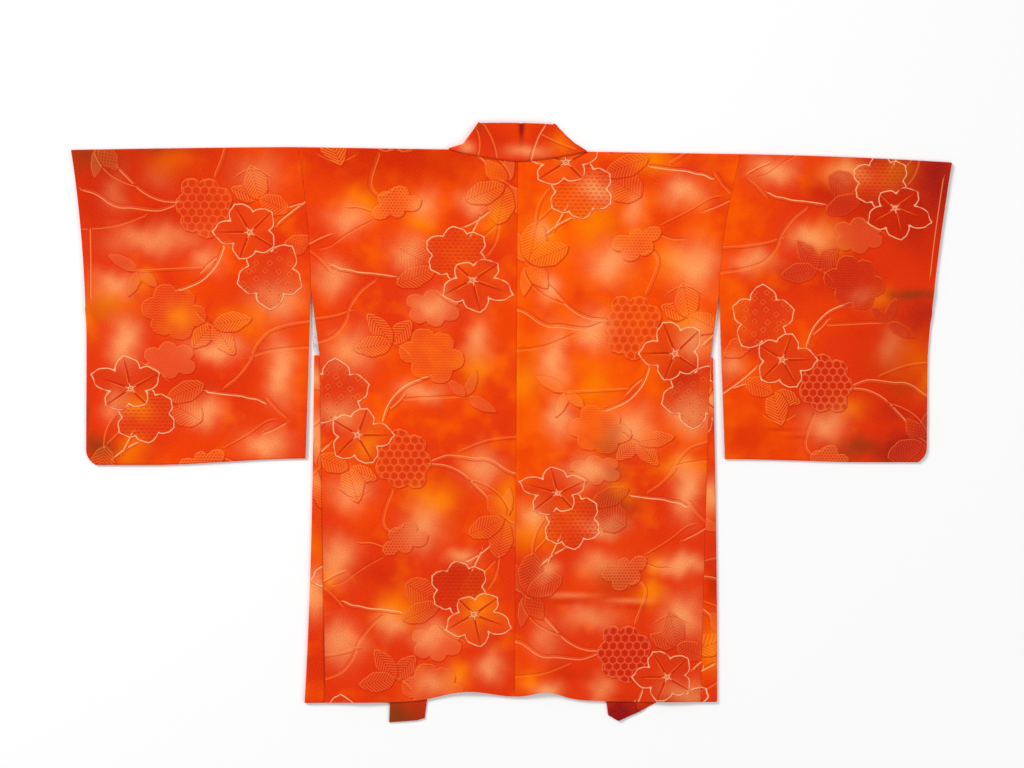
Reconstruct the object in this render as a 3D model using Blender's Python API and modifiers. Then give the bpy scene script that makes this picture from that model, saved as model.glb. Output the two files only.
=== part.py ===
"""A woman's haori, a hip-length kimono jacket, laid flat with its back up and its sleeves spread.

X runs to the wearer's right, Y to the neck and Z up from the surface that the jacket lies on.
Places on the jacket are given as x and drop, the distance below the fold of the shoulders.
Lengths are in metres. Each piece is a sheet of cloth through its own rows and columns of points,
and a Solidify modifier gives it its wall.
"""

import math

import bmesh
import bpy
from mathutils import Vector

GARMENT = "haori"

# The wall and the layers
CLOTH = 0.0012  # the outer cloth and the lining together
GAP = 0.0003  # left open along a seam and between two layers
LAYER = CLOTH + GAP
LOWEST = CLOTH / 2  # middle of a layer that lies on the surface
SECOND = LOWEST + LAYER  # middle of the layer above it
UPPER = 0.0036  # middle of the back and of the sleeves' upper cloth
NECK = 0.0045  # the same beside the collar
NECK_REACH = (0.120, 0.190)  # distance from the centre at which that ends

# The body
SHOULDER = {-1: 0.3155, 1: 0.3270}  # centre back seam to armhole seam, along the shoulder
ARMHOLE_DROP = 0.205
ARMHOLE_CURVE = 1.7  # how soon the armhole seam runs in from the shoulder
UNDERARM = 0.2967
OPENING_DROP = 0.2975  # the side is open from the armhole to the top of the gusset
HEM_DROP = 0.799
BACK_SIDE = ((ARMHOLE_DROP, UNDERARM), (OPENING_DROP, 0.284), (HEM_DROP, 0.273))
OPENING_FRONT = {-1: 0.2925, 1: 0.2872}  # x of the front's free edge at the foot of the opening
FRONT_SIDE = {
    side: (
        (ARMHOLE_DROP, UNDERARM),
        (0.2925, OPENING_FRONT[side]),
        (0.3025, 0.282),
        (HEM_DROP, 0.267),
    )
    for side in (-1, 1)
}
NECK_X = 0.0933  # centre to the neck point on the shoulder
NECKLINE_DIP = 0.0035  # the back neckline at the centre, below the neck point
HEM_FLUTES = ((-0.072, 0.050, 0.0115), (0.047, 0.028, 0.0095), (0.0, 0.110, 0.0065))  # x, width, rise
HEM_TILT = 0.008  # the hem falls this much for each metre to the wearer's right
HEM_REACH = 0.150  # the cloth follows the shape of its hem from this far above it

# The sleeves
WRIST = {-1: 0.6355, 1: 0.6435}  # centre back seam to wrist, along the shoulder
WRIST_DROP = {-1: 0.0090, 1: 0.0075}  # the wrist end of the top fold lies this much lower
TOP_BEND = {-1: 1.2, 1: 2.0}  # 1 where that fold falls evenly, more where it falls late
WRIST_TAPER = {-1: 0.022, 1: 0.0335}  # the wrist edge runs in by this much
TAPER_LENGTH = 0.295  # within this length
TAPER_CURVE = {-1: 2.0, 1: 1.35}  # and the more of it soon, the higher this is
WRIST_OPENING = 0.224
SLEEVE_DROP = 0.4463  # bottom seam at the inner end
SLEEVE_FALL = {-1: 0.0095, 1: 0.0042}  # how much lower the bottom seam is at the wrist
FALL_REACH = 0.75  # share of the sleeve's width in which it falls
SLEEVE_FOOT = {-1: 0.303, 1: 0.307}  # x of the inner end at the bottom seam
SLEEVE_CORNER = 0.022
SEAM_TURN = 0.0015  # how far a closed edge stands out from the layers that it joins
SEAM_INSET = 0.0009  # from that edge's middle to its outside
EDGE_TURN = 0.3  # share of it by which the open wrist edge's mid line stands out

# The gussets
GUSSET_TOP = {-1: 0.2915, 1: 0.2885}  # x of the gusset's fold at its top
GUSSET_WIDEN = {-1: 0.0035, 1: 0.0135}  # how far the fold moves out evenly
GUSSET_FLARE = {-1: 0.0080, 1: -0.0040}  # and in the end, as the hem spreads or draws in
GUSSET_SLANT = 0.0054  # how much lower the top of the gusset is at the front seam

# The collar
COLLAR_RISE = 0.0397  # its upper fold, above the shoulders
COLLAR_TOP = {-1: 0.0575, 1: 0.0540}  # centre back to the end of that fold
COLLAR_FOOT = 0.1005  # where its slanting ends meet the shoulders
COLLAR_DIP = 0.0162  # its free edge at the centre back, below the shoulders
DIP_CURVE = 1.5  # how that edge curves down to there
COLLAR_HEM = {-1: 0.1300, 1: 0.1373}  # x of its fold at the front hem
FOLD_CURVE = 1.4  # how late that fold runs out to there
SEAM_HEM = {-1: 0.1805, 1: 0.1780}  # x of its seam with the front at the hem
SEAM_BOW = 0.35  # how much that seam bows out on the way
COLLAR_OVERLAP = 0.007  # its free edge lies this far past that seam
EDGE_CLEAR = 0.001  # the front lies level this far past that edge
STEP_RUN = 0.009  # and comes down to the surface within this
COLLAR_PUFF = 0.0015  # how much the fold behind the neck swells
FOOT_CLEAR = 0.0016  # lifts the slanting ends clear of the fold of the shoulders
SEAM_CLEAR = 0.0020  # the seam inside them stops this far from the neck point
TUCK_X = 0.004  # the tuck behind the neck
TUCK_WIDTH = 0.003
TUCK_DEPTH = 0.95  # share of the swell that it presses flat
FOLD_EASE = 0.4  # share of the way to the centre in which the swell builds up
CREASE = 0.0012  # the ridge along the end of the right collar
CREASE_FROM = (0.802, 0.815)  # it rises between these drops
FRONT_DROP = 0.828  # the lowest point of the fronts
TAB_TAPER = 0.0010  # the left collar narrows by this much below the hem
COLLAR_END = {
    -1: ((0.1300, 0.8205), (0.141, 0.8238), (0.180, 0.8261)),
    1: ((0.1373, 0.8190), (0.1522, FRONT_DROP), (0.181, 0.8156)),
}
FRONT_HEM = {
    -1: ((0.178, 0.7980), (0.267, 0.7955)),
    1: ((0.178, 0.8165), (0.2105, 0.8005), (0.267, 0.8000)),
}
TUCKED = 0.93  # share of the left free edge that draws in behind the back's hem
TUCKED_FROM = 0.780

# The largest folds: place, half length, half width, angle from the X axis in degrees, height
FOLDS = (
    (-0.065, 0.800, 0.100, 0.028, 90, 0.0040),
    (0.045, 0.800, 0.120, 0.024, 92, 0.0045),
    (-0.215, 0.790, 0.130, 0.030, 86, 0.0022),
    (0.225, 0.780, 0.110, 0.026, 96, 0.0024),
    (-0.150, 0.450, 0.200, 0.050, 84, 0.0010),
    (0.165, 0.420, 0.220, 0.045, 95, 0.0011),
    (-0.270, 0.165, 0.060, 0.020, 28, 0.0016),
    (0.272, 0.170, 0.060, 0.018, 152, 0.0016),
    (0.565, 0.205, 0.060, 0.015, 4, 0.0022),
    (0.380, 0.350, 0.055, 0.020, 170, 0.0012),
    (-0.560, 0.235, 0.050, 0.016, 172, 0.0014),
    (-0.400, 0.330, 0.090, 0.035, 62, 0.0010),
    (0.470, 0.110, 0.110, 0.035, 14, 0.0010),
    (-0.580, 0.415, 0.035, 0.012, 130, 0.0013),
    (0.575, 0.412, 0.035, 0.012, 48, 0.0015),
)

# How finely each piece is divided
NECK_COLUMNS = 5
SHOULDER_COLUMNS = 7
BACK_ROWS = (7, 4, 17)  # to the end of the armhole, the top of the gusset and the hem
FRONT_ROWS = (7, 2, 1, 9)  # to the end of the armhole and the other rows of FRONT_SIDE
TURN = (-60, -20, 20, 60)  # degrees round a fold
SLEEVE_ROWS = (7, 1, 7)  # to the end of the armhole, the end of the opening and the corner
CORNER_ROWS = (0.013, 0.0055)  # above the bottom seam, round the corner
SLEEVE_COLUMNS = 12
GUSSET_ROWS = 16
CORNER_REACH = 0.110  # the collar's rows level out from its upper corners to this drop
COLLAR_DROPS = (0.0, CORNER_REACH, 0.760, 0.802, FRONT_DROP)
COLLAR_ROWS = (4, 8, 1, 2)
COLLAR_TURN = (-90, -55, -20, 20, 55, 90)
COLLAR_BACK = (0.84, 0.62, 0.38, 0.20, 0.12, 0.073, 0.026, -0.07, -0.26, -0.50, -0.75)
COLLAR_ACROSS = (1.0, 0.65, 0.355, 0.0)  # shares of the way from its fold to its edge
COLLAR_BOW = {  # how far its slanting ends bow in at those shares
    -1: (0.0, 0.0088, 0.0050, 0.0),
    1: (0.0, 0.0031, 0.0026, 0.0),
}
STRAIGHT = (0.0, 0.0, 0.0, 0.0)
COLLAR_FOLD = (60, 120)  # degrees round its outer fold

# Colours of the cloth on each piece, and how it shines
COLOURS = {
    "body_left": (0.82, 0.095, 0.012),
    "body_right": (0.84, 0.110, 0.012),
    "sleeve_left": (0.82, 0.090, 0.020),
    "sleeve_right": (0.72, 0.060, 0.014),
    "gusset_left": (0.82, 0.110, 0.020),
    "gusset_right": (0.78, 0.085, 0.016),
    "collar": (0.80, 0.075, 0.010),
}
ROUGHNESS = 0.48

SHOULDER_Y = (FRONT_DROP - COLLAR_RISE) / 2  # centres the jacket on the origin


def mix(start, end, share):
    return start + (end - start) * share


def ease(value, start, end):
    """Runs smoothly from 0 at start to 1 at end."""
    share = min(1.0, max(0.0, (value - start) / (end - start)))
    return share * share * (3 - 2 * share)


def along(table, value):
    """Reads a table of (value, result) pairs, straight between its rows."""
    for (low, first), (high, second) in zip(table, table[1:]):
        if value <= high:
            return mix(first, second, max(0.0, (value - low) / (high - low)))
    return table[-1][1]


def steps(landmarks, counts):
    """Values from the first landmark to the last, each stretch divided evenly by its count."""
    values = [landmarks[0]]
    for low, high, count in zip(landmarks, landmarks[1:], counts):
        values += [mix(low, high, (step + 1) / count) for step in range(count)]
    return values


def place(x, drop, z):
    return Vector((x, SHOULDER_Y - drop, z))


def fold_height(x, drop):
    """How far the folds lift the upper cloth."""
    height = 0.0
    for fold_x, fold_drop, length, width, angle, rise in FOLDS:
        turn = math.radians(angle)
        run = (x - fold_x) * math.cos(turn) - (drop - fold_drop) * math.sin(turn)
        side = (x - fold_x) * math.sin(turn) + (drop - fold_drop) * math.cos(turn)
        height += rise * math.exp(-((run / length) ** 2) - (side / width) ** 2)
    return height


def upper_level(x, drop):
    """Middle height of the back and of the sleeves' upper cloth."""
    beside_neck = 1 - ease(math.hypot(x, drop), *NECK_REACH)
    return mix(UPPER + fold_height(x, drop), NECK, beside_neck)


def turned(low, high, angle):
    """A point round a fold between two layers: how far inside the outline it is, and its height."""
    radius = (high - low) / 2
    inset = CLOTH / 2 + radius * (1 - math.cos(math.radians(angle)))
    return inset, (low + high) / 2 + radius * math.sin(math.radians(angle))


def armhole_x(side, drop):
    """Armhole seam, from the shoulder to the underarm."""
    share = min(1.0, max(0.0, 1 - drop / ARMHOLE_DROP))
    return mix(UNDERARM, SHOULDER[side], share**ARMHOLE_CURVE)


def side_x(side, table, drop):
    """Side of a body length: the armhole seam, and below it what the table says."""
    return armhole_x(side, drop) if drop < ARMHOLE_DROP else along(table, drop)


def seam_x(side, drop):
    """Seam of the collar with the front."""
    share = max(0.0, drop / HEM_DROP)
    return NECK_X + (SEAM_HEM[side] - NECK_X) * share * (1 + SEAM_BOW * (1 - share))


def collar_fold_x(side, drop):
    """Fold of the collar down the front, its edge nearest the centre."""
    share = max(0.0, drop + COLLAR_RISE) / (FRONT_DROP + COLLAR_RISE)
    return mix(COLLAR_TOP[side], COLLAR_HEM[side], share**FOLD_CURVE)


def neckline_drop(x):
    """Neckline of the back."""
    start = CLOTH / 2 + (NECK - SECOND) / 2
    return start + NECKLINE_DIP * (1 - min(1.0, abs(x) / NECK_X) ** 2)


def back_hem(x):
    drawn = sum(rise * math.exp(-(((x - at) / width) ** 2)) for at, width, rise in HEM_FLUTES)
    return HEM_DROP + HEM_TILT * x - drawn


def hemmed(drop, hem):
    """Shifts a place near the hem, so that the cloth ends there and not at the level hem."""
    return drop + (hem - HEM_DROP) * ease(drop, HEM_DROP - HEM_REACH, HEM_DROP)


def top_fold(side, reach):
    """Drop of a sleeve's top fold, at a share of the way to the wrist."""
    return WRIST_DROP[side] * reach ** TOP_BEND[side]


def bottom_seam(side, reach):
    return SLEEVE_DROP + SLEEVE_FALL[side] * ease(reach, 0.0, FALL_REACH)


def wrist_x(side, drop):
    """Wrist edge of a sleeve, with the rounded corner at its bottom."""
    taper = max(0.0, 1 - (drop - WRIST_DROP[side]) / TAPER_LENGTH) ** TAPER_CURVE[side]
    edge = WRIST[side] - WRIST_TAPER[side] * (1 - taper)
    into_corner = SLEEVE_CORNER - (bottom_seam(side, 1.0) - drop)
    if into_corner <= 0:
        return edge
    reach = min(into_corner, SLEEVE_CORNER)
    return edge - SLEEVE_CORNER + math.sqrt(SLEEVE_CORNER**2 - reach**2)


def gusset_fold_x(side, drop):
    share = (drop - OPENING_DROP) / (HEM_DROP - OPENING_DROP)
    return GUSSET_TOP[side] + GUSSET_WIDEN[side] * share + GUSSET_FLARE[side] * share**3


def cloth(name, points, closed=False, extra_faces=()):
    """A sheet through rows of points, with a wall.

    A point is None where the sheet is cut away. A closed sheet joins its last row to its first,
    and extra_faces holds more faces, each a list of its corners.
    """
    sheet = bmesh.new()
    vertices = {}

    def vertex(point):
        key = tuple(round(value, 7) for value in point)
        if key not in vertices:
            vertices[key] = sheet.verts.new(point)
        return vertices[key]

    following_rows = points[1:] + (points[:1] if closed else [])
    for row, following in zip(points, following_rows):
        for column in range(len(row) - 1):
            corners = (row[column], row[column + 1], following[column + 1], following[column])
            if all(corner is not None for corner in corners):
                sheet.faces.new([vertex(corner) for corner in corners])
    for corners in extra_faces:
        sheet.faces.new([vertex(corner) for corner in corners])
    bmesh.ops.recalc_face_normals(sheet, faces=sheet.faces)
    mesh = bpy.data.meshes.new(name)
    sheet.to_mesh(mesh)
    sheet.free()
    mesh.shade_smooth()
    mesh.materials.append(silk(name))
    piece = bpy.data.objects.new(name, mesh)
    bpy.data.collections[GARMENT].objects.link(piece)
    wall = piece.modifiers.new("Wall", "SOLIDIFY")
    wall.thickness = CLOTH
    wall.offset = 0
    wall.use_even_offset = True


def silk(name):
    material = bpy.data.materials.new(f"silk_{name}")
    material.use_nodes = True
    shader = material.node_tree.nodes["Principled BSDF"]
    shader.inputs["Base Color"].default_value = (*COLOURS[name], 1)
    shader.inputs["Roughness"].default_value = ROUGHNESS
    shader.inputs["Metallic"].default_value = 0
    return material


def front_columns(inner, outer):
    """Columns from the collar's seam to the side, the first ones close beside its free edge."""
    flat = inner + COLLAR_OVERLAP + EDGE_CLEAR
    foot = flat + STEP_RUN
    rest = [mix(foot, outer, column / SHOULDER_COLUMNS) for column in range(SHOULDER_COLUMNS + 1)]
    return [inner, flat, *rest]


def front_level(column):
    """Height of the front, which lies first on the collar's free half and then on the surface."""
    return SECOND if column < 2 else LOWEST


def shoulder_turn(side, column, x, angle):
    """Inset and height of a body length where it goes over the shoulder."""
    return turned(front_level(column), upper_level(side * x, 0.0), angle)


def front_rows(side, shoulder):
    """The front, from its hem up to the shoulder."""
    rows = []
    drops = [0.0] + [drop for drop, x in FRONT_SIDE[side]]
    for level_drop in reversed(steps(drops, FRONT_ROWS)):
        outer = side_x(side, FRONT_SIDE[side], level_drop) - GAP / 2
        row = [None] * NECK_COLUMNS
        for column, shoulder_x in enumerate(shoulder):
            start = shoulder_turn(side, column, shoulder_x, -90)[0]
            x = front_columns(seam_x(side, level_drop) + GAP / 2, outer)[column]
            drop = max(start, hemmed(level_drop, along(FRONT_HEM[side], x)))
            x = front_columns(seam_x(side, drop) + GAP / 2, outer)[column]
            row.append(place(side * x, drop, front_level(column)))
        rows.append(row)
    return rows


def back_rows(side, neck, shoulder):
    """The back, from the neckline and the shoulder down to the hem."""
    rows = []
    drops = (0.0, ARMHOLE_DROP, OPENING_DROP, HEM_DROP)
    starts = [neckline_drop(x) for x in neck]
    starts += [shoulder_turn(side, column, x, 90)[0] for column, x in enumerate(shoulder)]
    hem_narrowing = (BACK_SIDE[-1][1] - GAP / 2) / shoulder[-1]
    for level_drop in steps(drops, BACK_ROWS):
        narrowing = (side_x(side, BACK_SIDE, level_drop) - GAP / 2) / shoulder[-1]
        row = []
        for start, shoulder_x in zip(starts, neck + shoulder):
            x = shoulder_x * narrowing
            hem = back_hem(side * shoulder_x * hem_narrowing)
            drop = max(start, hemmed(level_drop, hem))
            row.append(place(side * x, drop, upper_level(side * x, drop)))
        rows.append(row)
    return rows


def body_length(side):
    """One body length: up the front, over the shoulder and down the back."""
    neck = [mix(GAP / 2, NECK_X, column / NECK_COLUMNS) for column in range(NECK_COLUMNS)]
    shoulder = front_columns(NECK_X, SHOULDER[side] - GAP / 2)
    over = []
    for angle in TURN:
        row = [None] * NECK_COLUMNS
        for column, x in enumerate(shoulder):
            inset, z = shoulder_turn(side, column, x, angle)
            row.append(place(side * x, inset, z))
        over.append(row)
    return front_rows(side, shoulder) + over + back_rows(side, neck, shoulder)


def sleeve_plan(side, share, column, sewn):
    """x and drop of a point of a sleeve's layers, and the way out over its nearest closed edge."""
    reach = column / SLEEVE_COLUMNS
    bottom = bottom_seam(side, reach)
    drop = mix(top_fold(side, reach), bottom - SEAM_TURN - SEAM_INSET, share)
    inner_edge = ((ARMHOLE_DROP, UNDERARM), (SLEEVE_DROP, SLEEVE_FOOT[side]))
    inner = side_x(side, inner_edge, drop) + GAP / 2
    outer = wrist_x(side, drop) - (SEAM_TURN + SEAM_INSET if sewn else 0)
    into_corner = (SLEEVE_CORNER - (bottom - drop)) / SLEEVE_CORNER
    way = math.asin(min(1.0, max(0.0, into_corner)))
    return mix(inner, outer, reach), drop, way


def sleeve(side):
    """A closed tube of cloth, round from its top fold, and the faces that close its wrist edge."""
    drops = steps((0.0, ARMHOLE_DROP, WRIST_OPENING, SLEEVE_DROP - SLEEVE_CORNER), SLEEVE_ROWS)
    drops += [SLEEVE_DROP - height for height in CORNER_ROWS]
    shares = [drop / SLEEVE_DROP for drop in drops] + [1.0]
    opening = sum(SLEEVE_ROWS[:2])
    columns = range(SLEEVE_COLUMNS + 1)
    upper, lower, edge = [], [], []
    for row, share in enumerate(shares):
        sewn = row > opening
        upper.append([])
        lower.append([])
        for column in columns:
            x, drop, way = sleeve_plan(side, share, column, sewn)
            inset = turned(LOWEST, upper_level(side * x, drop), 90)[0] if row == 0 else 0
            z = upper_level(side * x, drop)
            upper[row].append(place(side * x, drop + inset, z))
            lower[row].append(place(side * x, drop + inset, LOWEST))
        middle = (z + LOWEST) / 2
        turn = SEAM_TURN * (1 if sewn else EDGE_TURN)
        edge.append(place(side * (x + turn * math.cos(way)), drop + turn * math.sin(way), middle))
    bottom = []
    for high, low in zip(upper[-1][:-1], lower[-1][:-1]):
        bottom.append((high + low) / 2 - Vector((0, SEAM_TURN, 0)))
    bottom.append(edge[-1])
    over = []
    for angle in TURN:
        row = []
        for column in columns:
            x, drop, way = sleeve_plan(side, 0.0, column, False)
            inset, z = turned(LOWEST, upper_level(side * x, drop), angle)
            row.append(place(side * x, drop + inset, z))
        over.append(row)
    wrist = []
    for row in range(opening, len(shares) - 1):
        for layer in (upper, lower):
            wrist.append([layer[row][-1], layer[row + 1][-1], edge[row + 1], edge[row]])
    return upper + [bottom] + lower[::-1] + over, wrist


def gusset(side):
    """A narrow strip folded lengthwise, between the back's side and the front's."""
    rows = []
    for row in range(GUSSET_ROWS + 1):
        share = row / GUSSET_ROWS
        drop = mix(OPENING_DROP + GAP, back_hem(side * BACK_SIDE[-1][1]), share)
        front_hem = along(FRONT_HEM[side], FRONT_SIDE[side][-1][1])
        front_drop = mix(OPENING_DROP + GUSSET_SLANT, front_hem, share)
        back_x = along(BACK_SIDE, drop) + GAP / 2
        front_x = along(FRONT_SIDE[side], front_drop) + GAP / 2
        fold_x = gusset_fold_x(side, drop)
        high = upper_level(side * fold_x, drop)
        inner_x = fold_x - turned(LOWEST, high, 90)[0]
        points = []
        for across in (0.0, 0.5, 1.0):
            x = mix(back_x, inner_x, across)
            points.append(place(side * x, drop, upper_level(side * x, drop)))
        for angle in reversed(TURN):
            inset, z = turned(LOWEST, high, angle)
            points.append(place(side * (fold_x - inset), drop, z))
        for across in (0.0, 0.5, 1.0):
            x = mix(inner_x, front_x, across)
            points.append(place(side * x, mix(drop, front_drop, across), LOWEST))
        rows.append(points)
    return rows


def collar_section(fold, seam, free, out, puff=0.0, crease=0.0, inwards=Vector((0, 0)), bow=STRAIGHT):
    """A row across the collar: its inner half from the seam to the fold, then its free half.

    fold, seam and free are places in plan, as x and drop, on the axis that the collar turns round
    at the ends of the neck, and out is the way from that axis to the collar, as x, drop and z.
    puff parts the halves at the fold, crease lifts a ridge, and bow bends the row inwards in plan.
    """
    axis_z = (SECOND + NECK) / 2
    inner_radius = (NECK - SECOND) / 2
    thick = LAYER + puff
    over = (fold - seam).normalized()
    points = []

    def add(plan, radius, rise=0.0):
        x, drop = plan + Vector(out[:2]) * radius
        points.append(place(x, drop, axis_z + out[2] * radius + rise))

    for share, bend in zip(COLLAR_ACROSS, bow):
        ridge = crease if share == COLLAR_ACROSS[2] else 0.0
        add(fold.lerp(seam, share) + inwards * bend, inner_radius, ridge)
    for angle in COLLAR_FOLD:
        turn = math.radians(angle)
        radius = inner_radius + thick / 2 * (1 - math.cos(turn))
        add(fold + over * thick / 2 * math.sin(turn), radius)
    for share, bend in zip(reversed(COLLAR_ACROSS), reversed(bow)):
        radius = inner_radius + mix(thick, LAYER, share)
        add(fold.lerp(free, share) + inwards * bend, radius)
    return points


def neck_end(side):
    """The fold, seam and free edge of the collar at its slanting end, and the way out there."""
    top = Vector((COLLAR_TOP[side], -COLLAR_RISE))
    foot = Vector((COLLAR_FOOT, 0.0))
    slant = (foot - top).normalized()
    out = Vector((slant.y, -slant.x))
    inset = CLOTH / 2 + LAYER + (NECK - SECOND) / 2
    fold = top - out * inset
    free = foot - out * inset - Vector((0.0, FOOT_CLEAR))
    seam = Vector((NECK_X - SEAM_CLEAR, neckline_drop(NECK_X) - GAP))
    return fold, seam, free, out


def collar_front(side, level_drop):
    """The row of the collar that far down a front."""
    corner, corner_seam = neck_end(side)[:2]
    rise = (corner_seam.y - corner.y) * (1 - ease(level_drop, 0.0, CORNER_REACH))
    fold_drop = level_drop - rise
    below_hem = ease(level_drop, HEM_DROP, FRONT_DROP)
    taper = TAB_TAPER * below_hem if side < 0 else 0.0
    overlap = COLLAR_OVERLAP
    if side < 0:
        overlap *= 1 - TUCKED * ease(level_drop, TUCKED_FROM, HEM_DROP)
    at_end = ease(level_drop, COLLAR_DROPS[-3], FRONT_DROP)
    end_drop = along(COLLAR_END[side], seam_x(side, level_drop))
    edge_x = seam_x(side, level_drop + (end_drop - FRONT_DROP) * at_end) - GAP / 2 - taper
    fold = Vector((side * (collar_fold_x(side, fold_drop) + CLOTH / 2 + LAYER / 2), fold_drop))
    seam = Vector((side * edge_x, level_drop))
    free = Vector((side * (edge_x + overlap), level_drop))
    crease = CREASE * ease(level_drop, *CREASE_FROM) if side > 0 else 0.0
    points = collar_section(fold, seam, free, (0.0, 0.0, -1.0), crease=crease)
    for point in points:
        point.y += (FRONT_DROP - along(COLLAR_END[side], abs(point.x))) * at_end
    return points


def collar_end_turn(side):
    """The rows of the slanting end, from under the front to above the back."""
    fold, seam, free, out = neck_end(side)
    rows = []
    for angle in COLLAR_TURN:
        turn = math.radians(angle)
        way = (side * out.x * math.cos(turn), out.y * math.cos(turn), math.sin(turn))
        plan = [Vector((side * point.x, point.y)) for point in (fold, seam, free)]
        inwards = Vector((-side * out.x, -out.y))
        rows.append(collar_section(*plan, way, inwards=inwards, bow=COLLAR_BOW[side]))
    return rows


def collar_back(share):
    """A row of the collar behind the neck, at a share of the way from the centre to its end."""
    fold, seam, free, out = neck_end(1 if share > 0 else -1)
    to_centre = 1 - share**2
    fold_drop = -COLLAR_RISE + CLOTH / 2 + (LAYER + COLLAR_PUFF) / 2
    tuck = math.exp(-(((share * fold.x - TUCK_X) / TUCK_WIDTH) ** 2))
    plan = (
        Vector((share * fold.x, mix(fold.y, fold_drop, ease(to_centre, 0.0, FOLD_EASE)))),
        Vector((share * seam.x, neckline_drop(share * seam.x) - GAP)),
        Vector((share * free.x, mix(free.y, COLLAR_DIP, 1 - abs(share) ** DIP_CURVE))),
    )
    puff = COLLAR_PUFF * to_centre * (1 - TUCK_DEPTH * tuck)
    return collar_section(*plan, (0.0, 0.0, 1.0), puff=puff)


def collar():
    """The band, from the hem of the right front round the neck to the hem of the left front."""
    drops = steps(COLLAR_DROPS, COLLAR_ROWS)[1:]
    rows = [collar_front(1, drop) for drop in reversed(drops)]
    rows += collar_end_turn(1)
    rows += [collar_back(share) for share in COLLAR_BACK]
    rows += reversed(collar_end_turn(-1))
    rows += [collar_front(-1, drop) for drop in drops]
    return rows


def main():
    for item in list(bpy.data.objects):
        bpy.data.objects.remove(item, do_unlink=True)
    bpy.context.scene.collection.children.link(bpy.data.collections.new(GARMENT))
    for name, side in (("left", -1), ("right", 1)):
        tube, wrist = sleeve(side)
        cloth(f"body_{name}", body_length(side))
        cloth(f"sleeve_{name}", tube, closed=True, extra_faces=wrist)
        cloth(f"gusset_{name}", gusset(side))
    cloth("collar", collar())


main()
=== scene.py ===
import math
from functools import partialmethod

import bpy
import numpy as np
from mathutils import Matrix


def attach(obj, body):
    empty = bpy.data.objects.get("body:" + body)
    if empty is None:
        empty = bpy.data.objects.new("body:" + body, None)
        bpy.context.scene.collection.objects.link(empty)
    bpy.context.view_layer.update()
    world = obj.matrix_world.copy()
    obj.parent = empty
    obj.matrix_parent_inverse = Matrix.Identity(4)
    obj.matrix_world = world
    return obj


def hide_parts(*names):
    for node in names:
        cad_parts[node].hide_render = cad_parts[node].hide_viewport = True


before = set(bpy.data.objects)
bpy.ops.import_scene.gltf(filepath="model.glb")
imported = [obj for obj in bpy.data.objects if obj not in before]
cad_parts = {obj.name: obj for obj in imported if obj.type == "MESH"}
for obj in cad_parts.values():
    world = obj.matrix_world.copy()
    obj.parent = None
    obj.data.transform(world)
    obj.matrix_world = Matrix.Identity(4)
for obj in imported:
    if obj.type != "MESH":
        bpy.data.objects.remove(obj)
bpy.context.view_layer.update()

# x runs to the wearer's right, drop runs down from the fold of the shoulders, z up, in metres
shoulderY = (0.828 - 0.0397) / 2

silk = {
    "wall": 0.0012,
    "gap": 0.0003,
    "lowest": 0.0006,  # middle of a layer that lies on the floor
    "second": 0.0021,
    "upper": 0.0036,  # middle of the back and of the sleeves' upper cloth
    "neck": 0.0045,
    "neckReach": (0.120, 0.190),
    "grain": 0.0029,  # spacing of the points where it shows
    "hiddenGrain": 0.0075,
    "seamSteps": (0.0005, 0.0011, 0.0018, 0.0028, 0.0042),
    "seamDip": 0.00025,
    "seamWidth": 0.0014,
    "dipFrom": (0.02, 0.06),  # how far below the shoulders the seams begin to dip
    "wave": 0.00045,  # heights of the faint unevenness
    "ripple": 0.00018,
    "merge": 0.00002,
    "topFaces": 200,
}
layer = silk["wall"] + silk["gap"]
halfGap = silk["gap"] / 2

# place, half length, half width, angle from the x axis in degrees, height
folds = (
    (-0.065, 0.800, 0.100, 0.028, 90, 0.0040),
    (0.045, 0.800, 0.120, 0.024, 92, 0.0045),
    (-0.215, 0.790, 0.130, 0.030, 86, 0.0022),
    (0.225, 0.780, 0.110, 0.026, 96, 0.0024),
    (-0.150, 0.450, 0.200, 0.050, 84, 0.0010),
    (0.165, 0.420, 0.220, 0.045, 95, 0.0011),
    (-0.270, 0.165, 0.060, 0.020, 28, 0.0016),
    (0.272, 0.170, 0.060, 0.018, 152, 0.0016),
    (0.565, 0.205, 0.060, 0.015, 4, 0.0022),
    (0.380, 0.350, 0.055, 0.020, 170, 0.0012),
    (-0.560, 0.235, 0.050, 0.016, 172, 0.0014),
    (-0.400, 0.330, 0.090, 0.035, 62, 0.0010),
    (0.470, 0.110, 0.110, 0.035, 14, 0.0010),
    (-0.580, 0.415, 0.035, 0.012, 130, 0.0013),
    (0.575, 0.412, 0.035, 0.012, 48, 0.0015),
)

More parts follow.
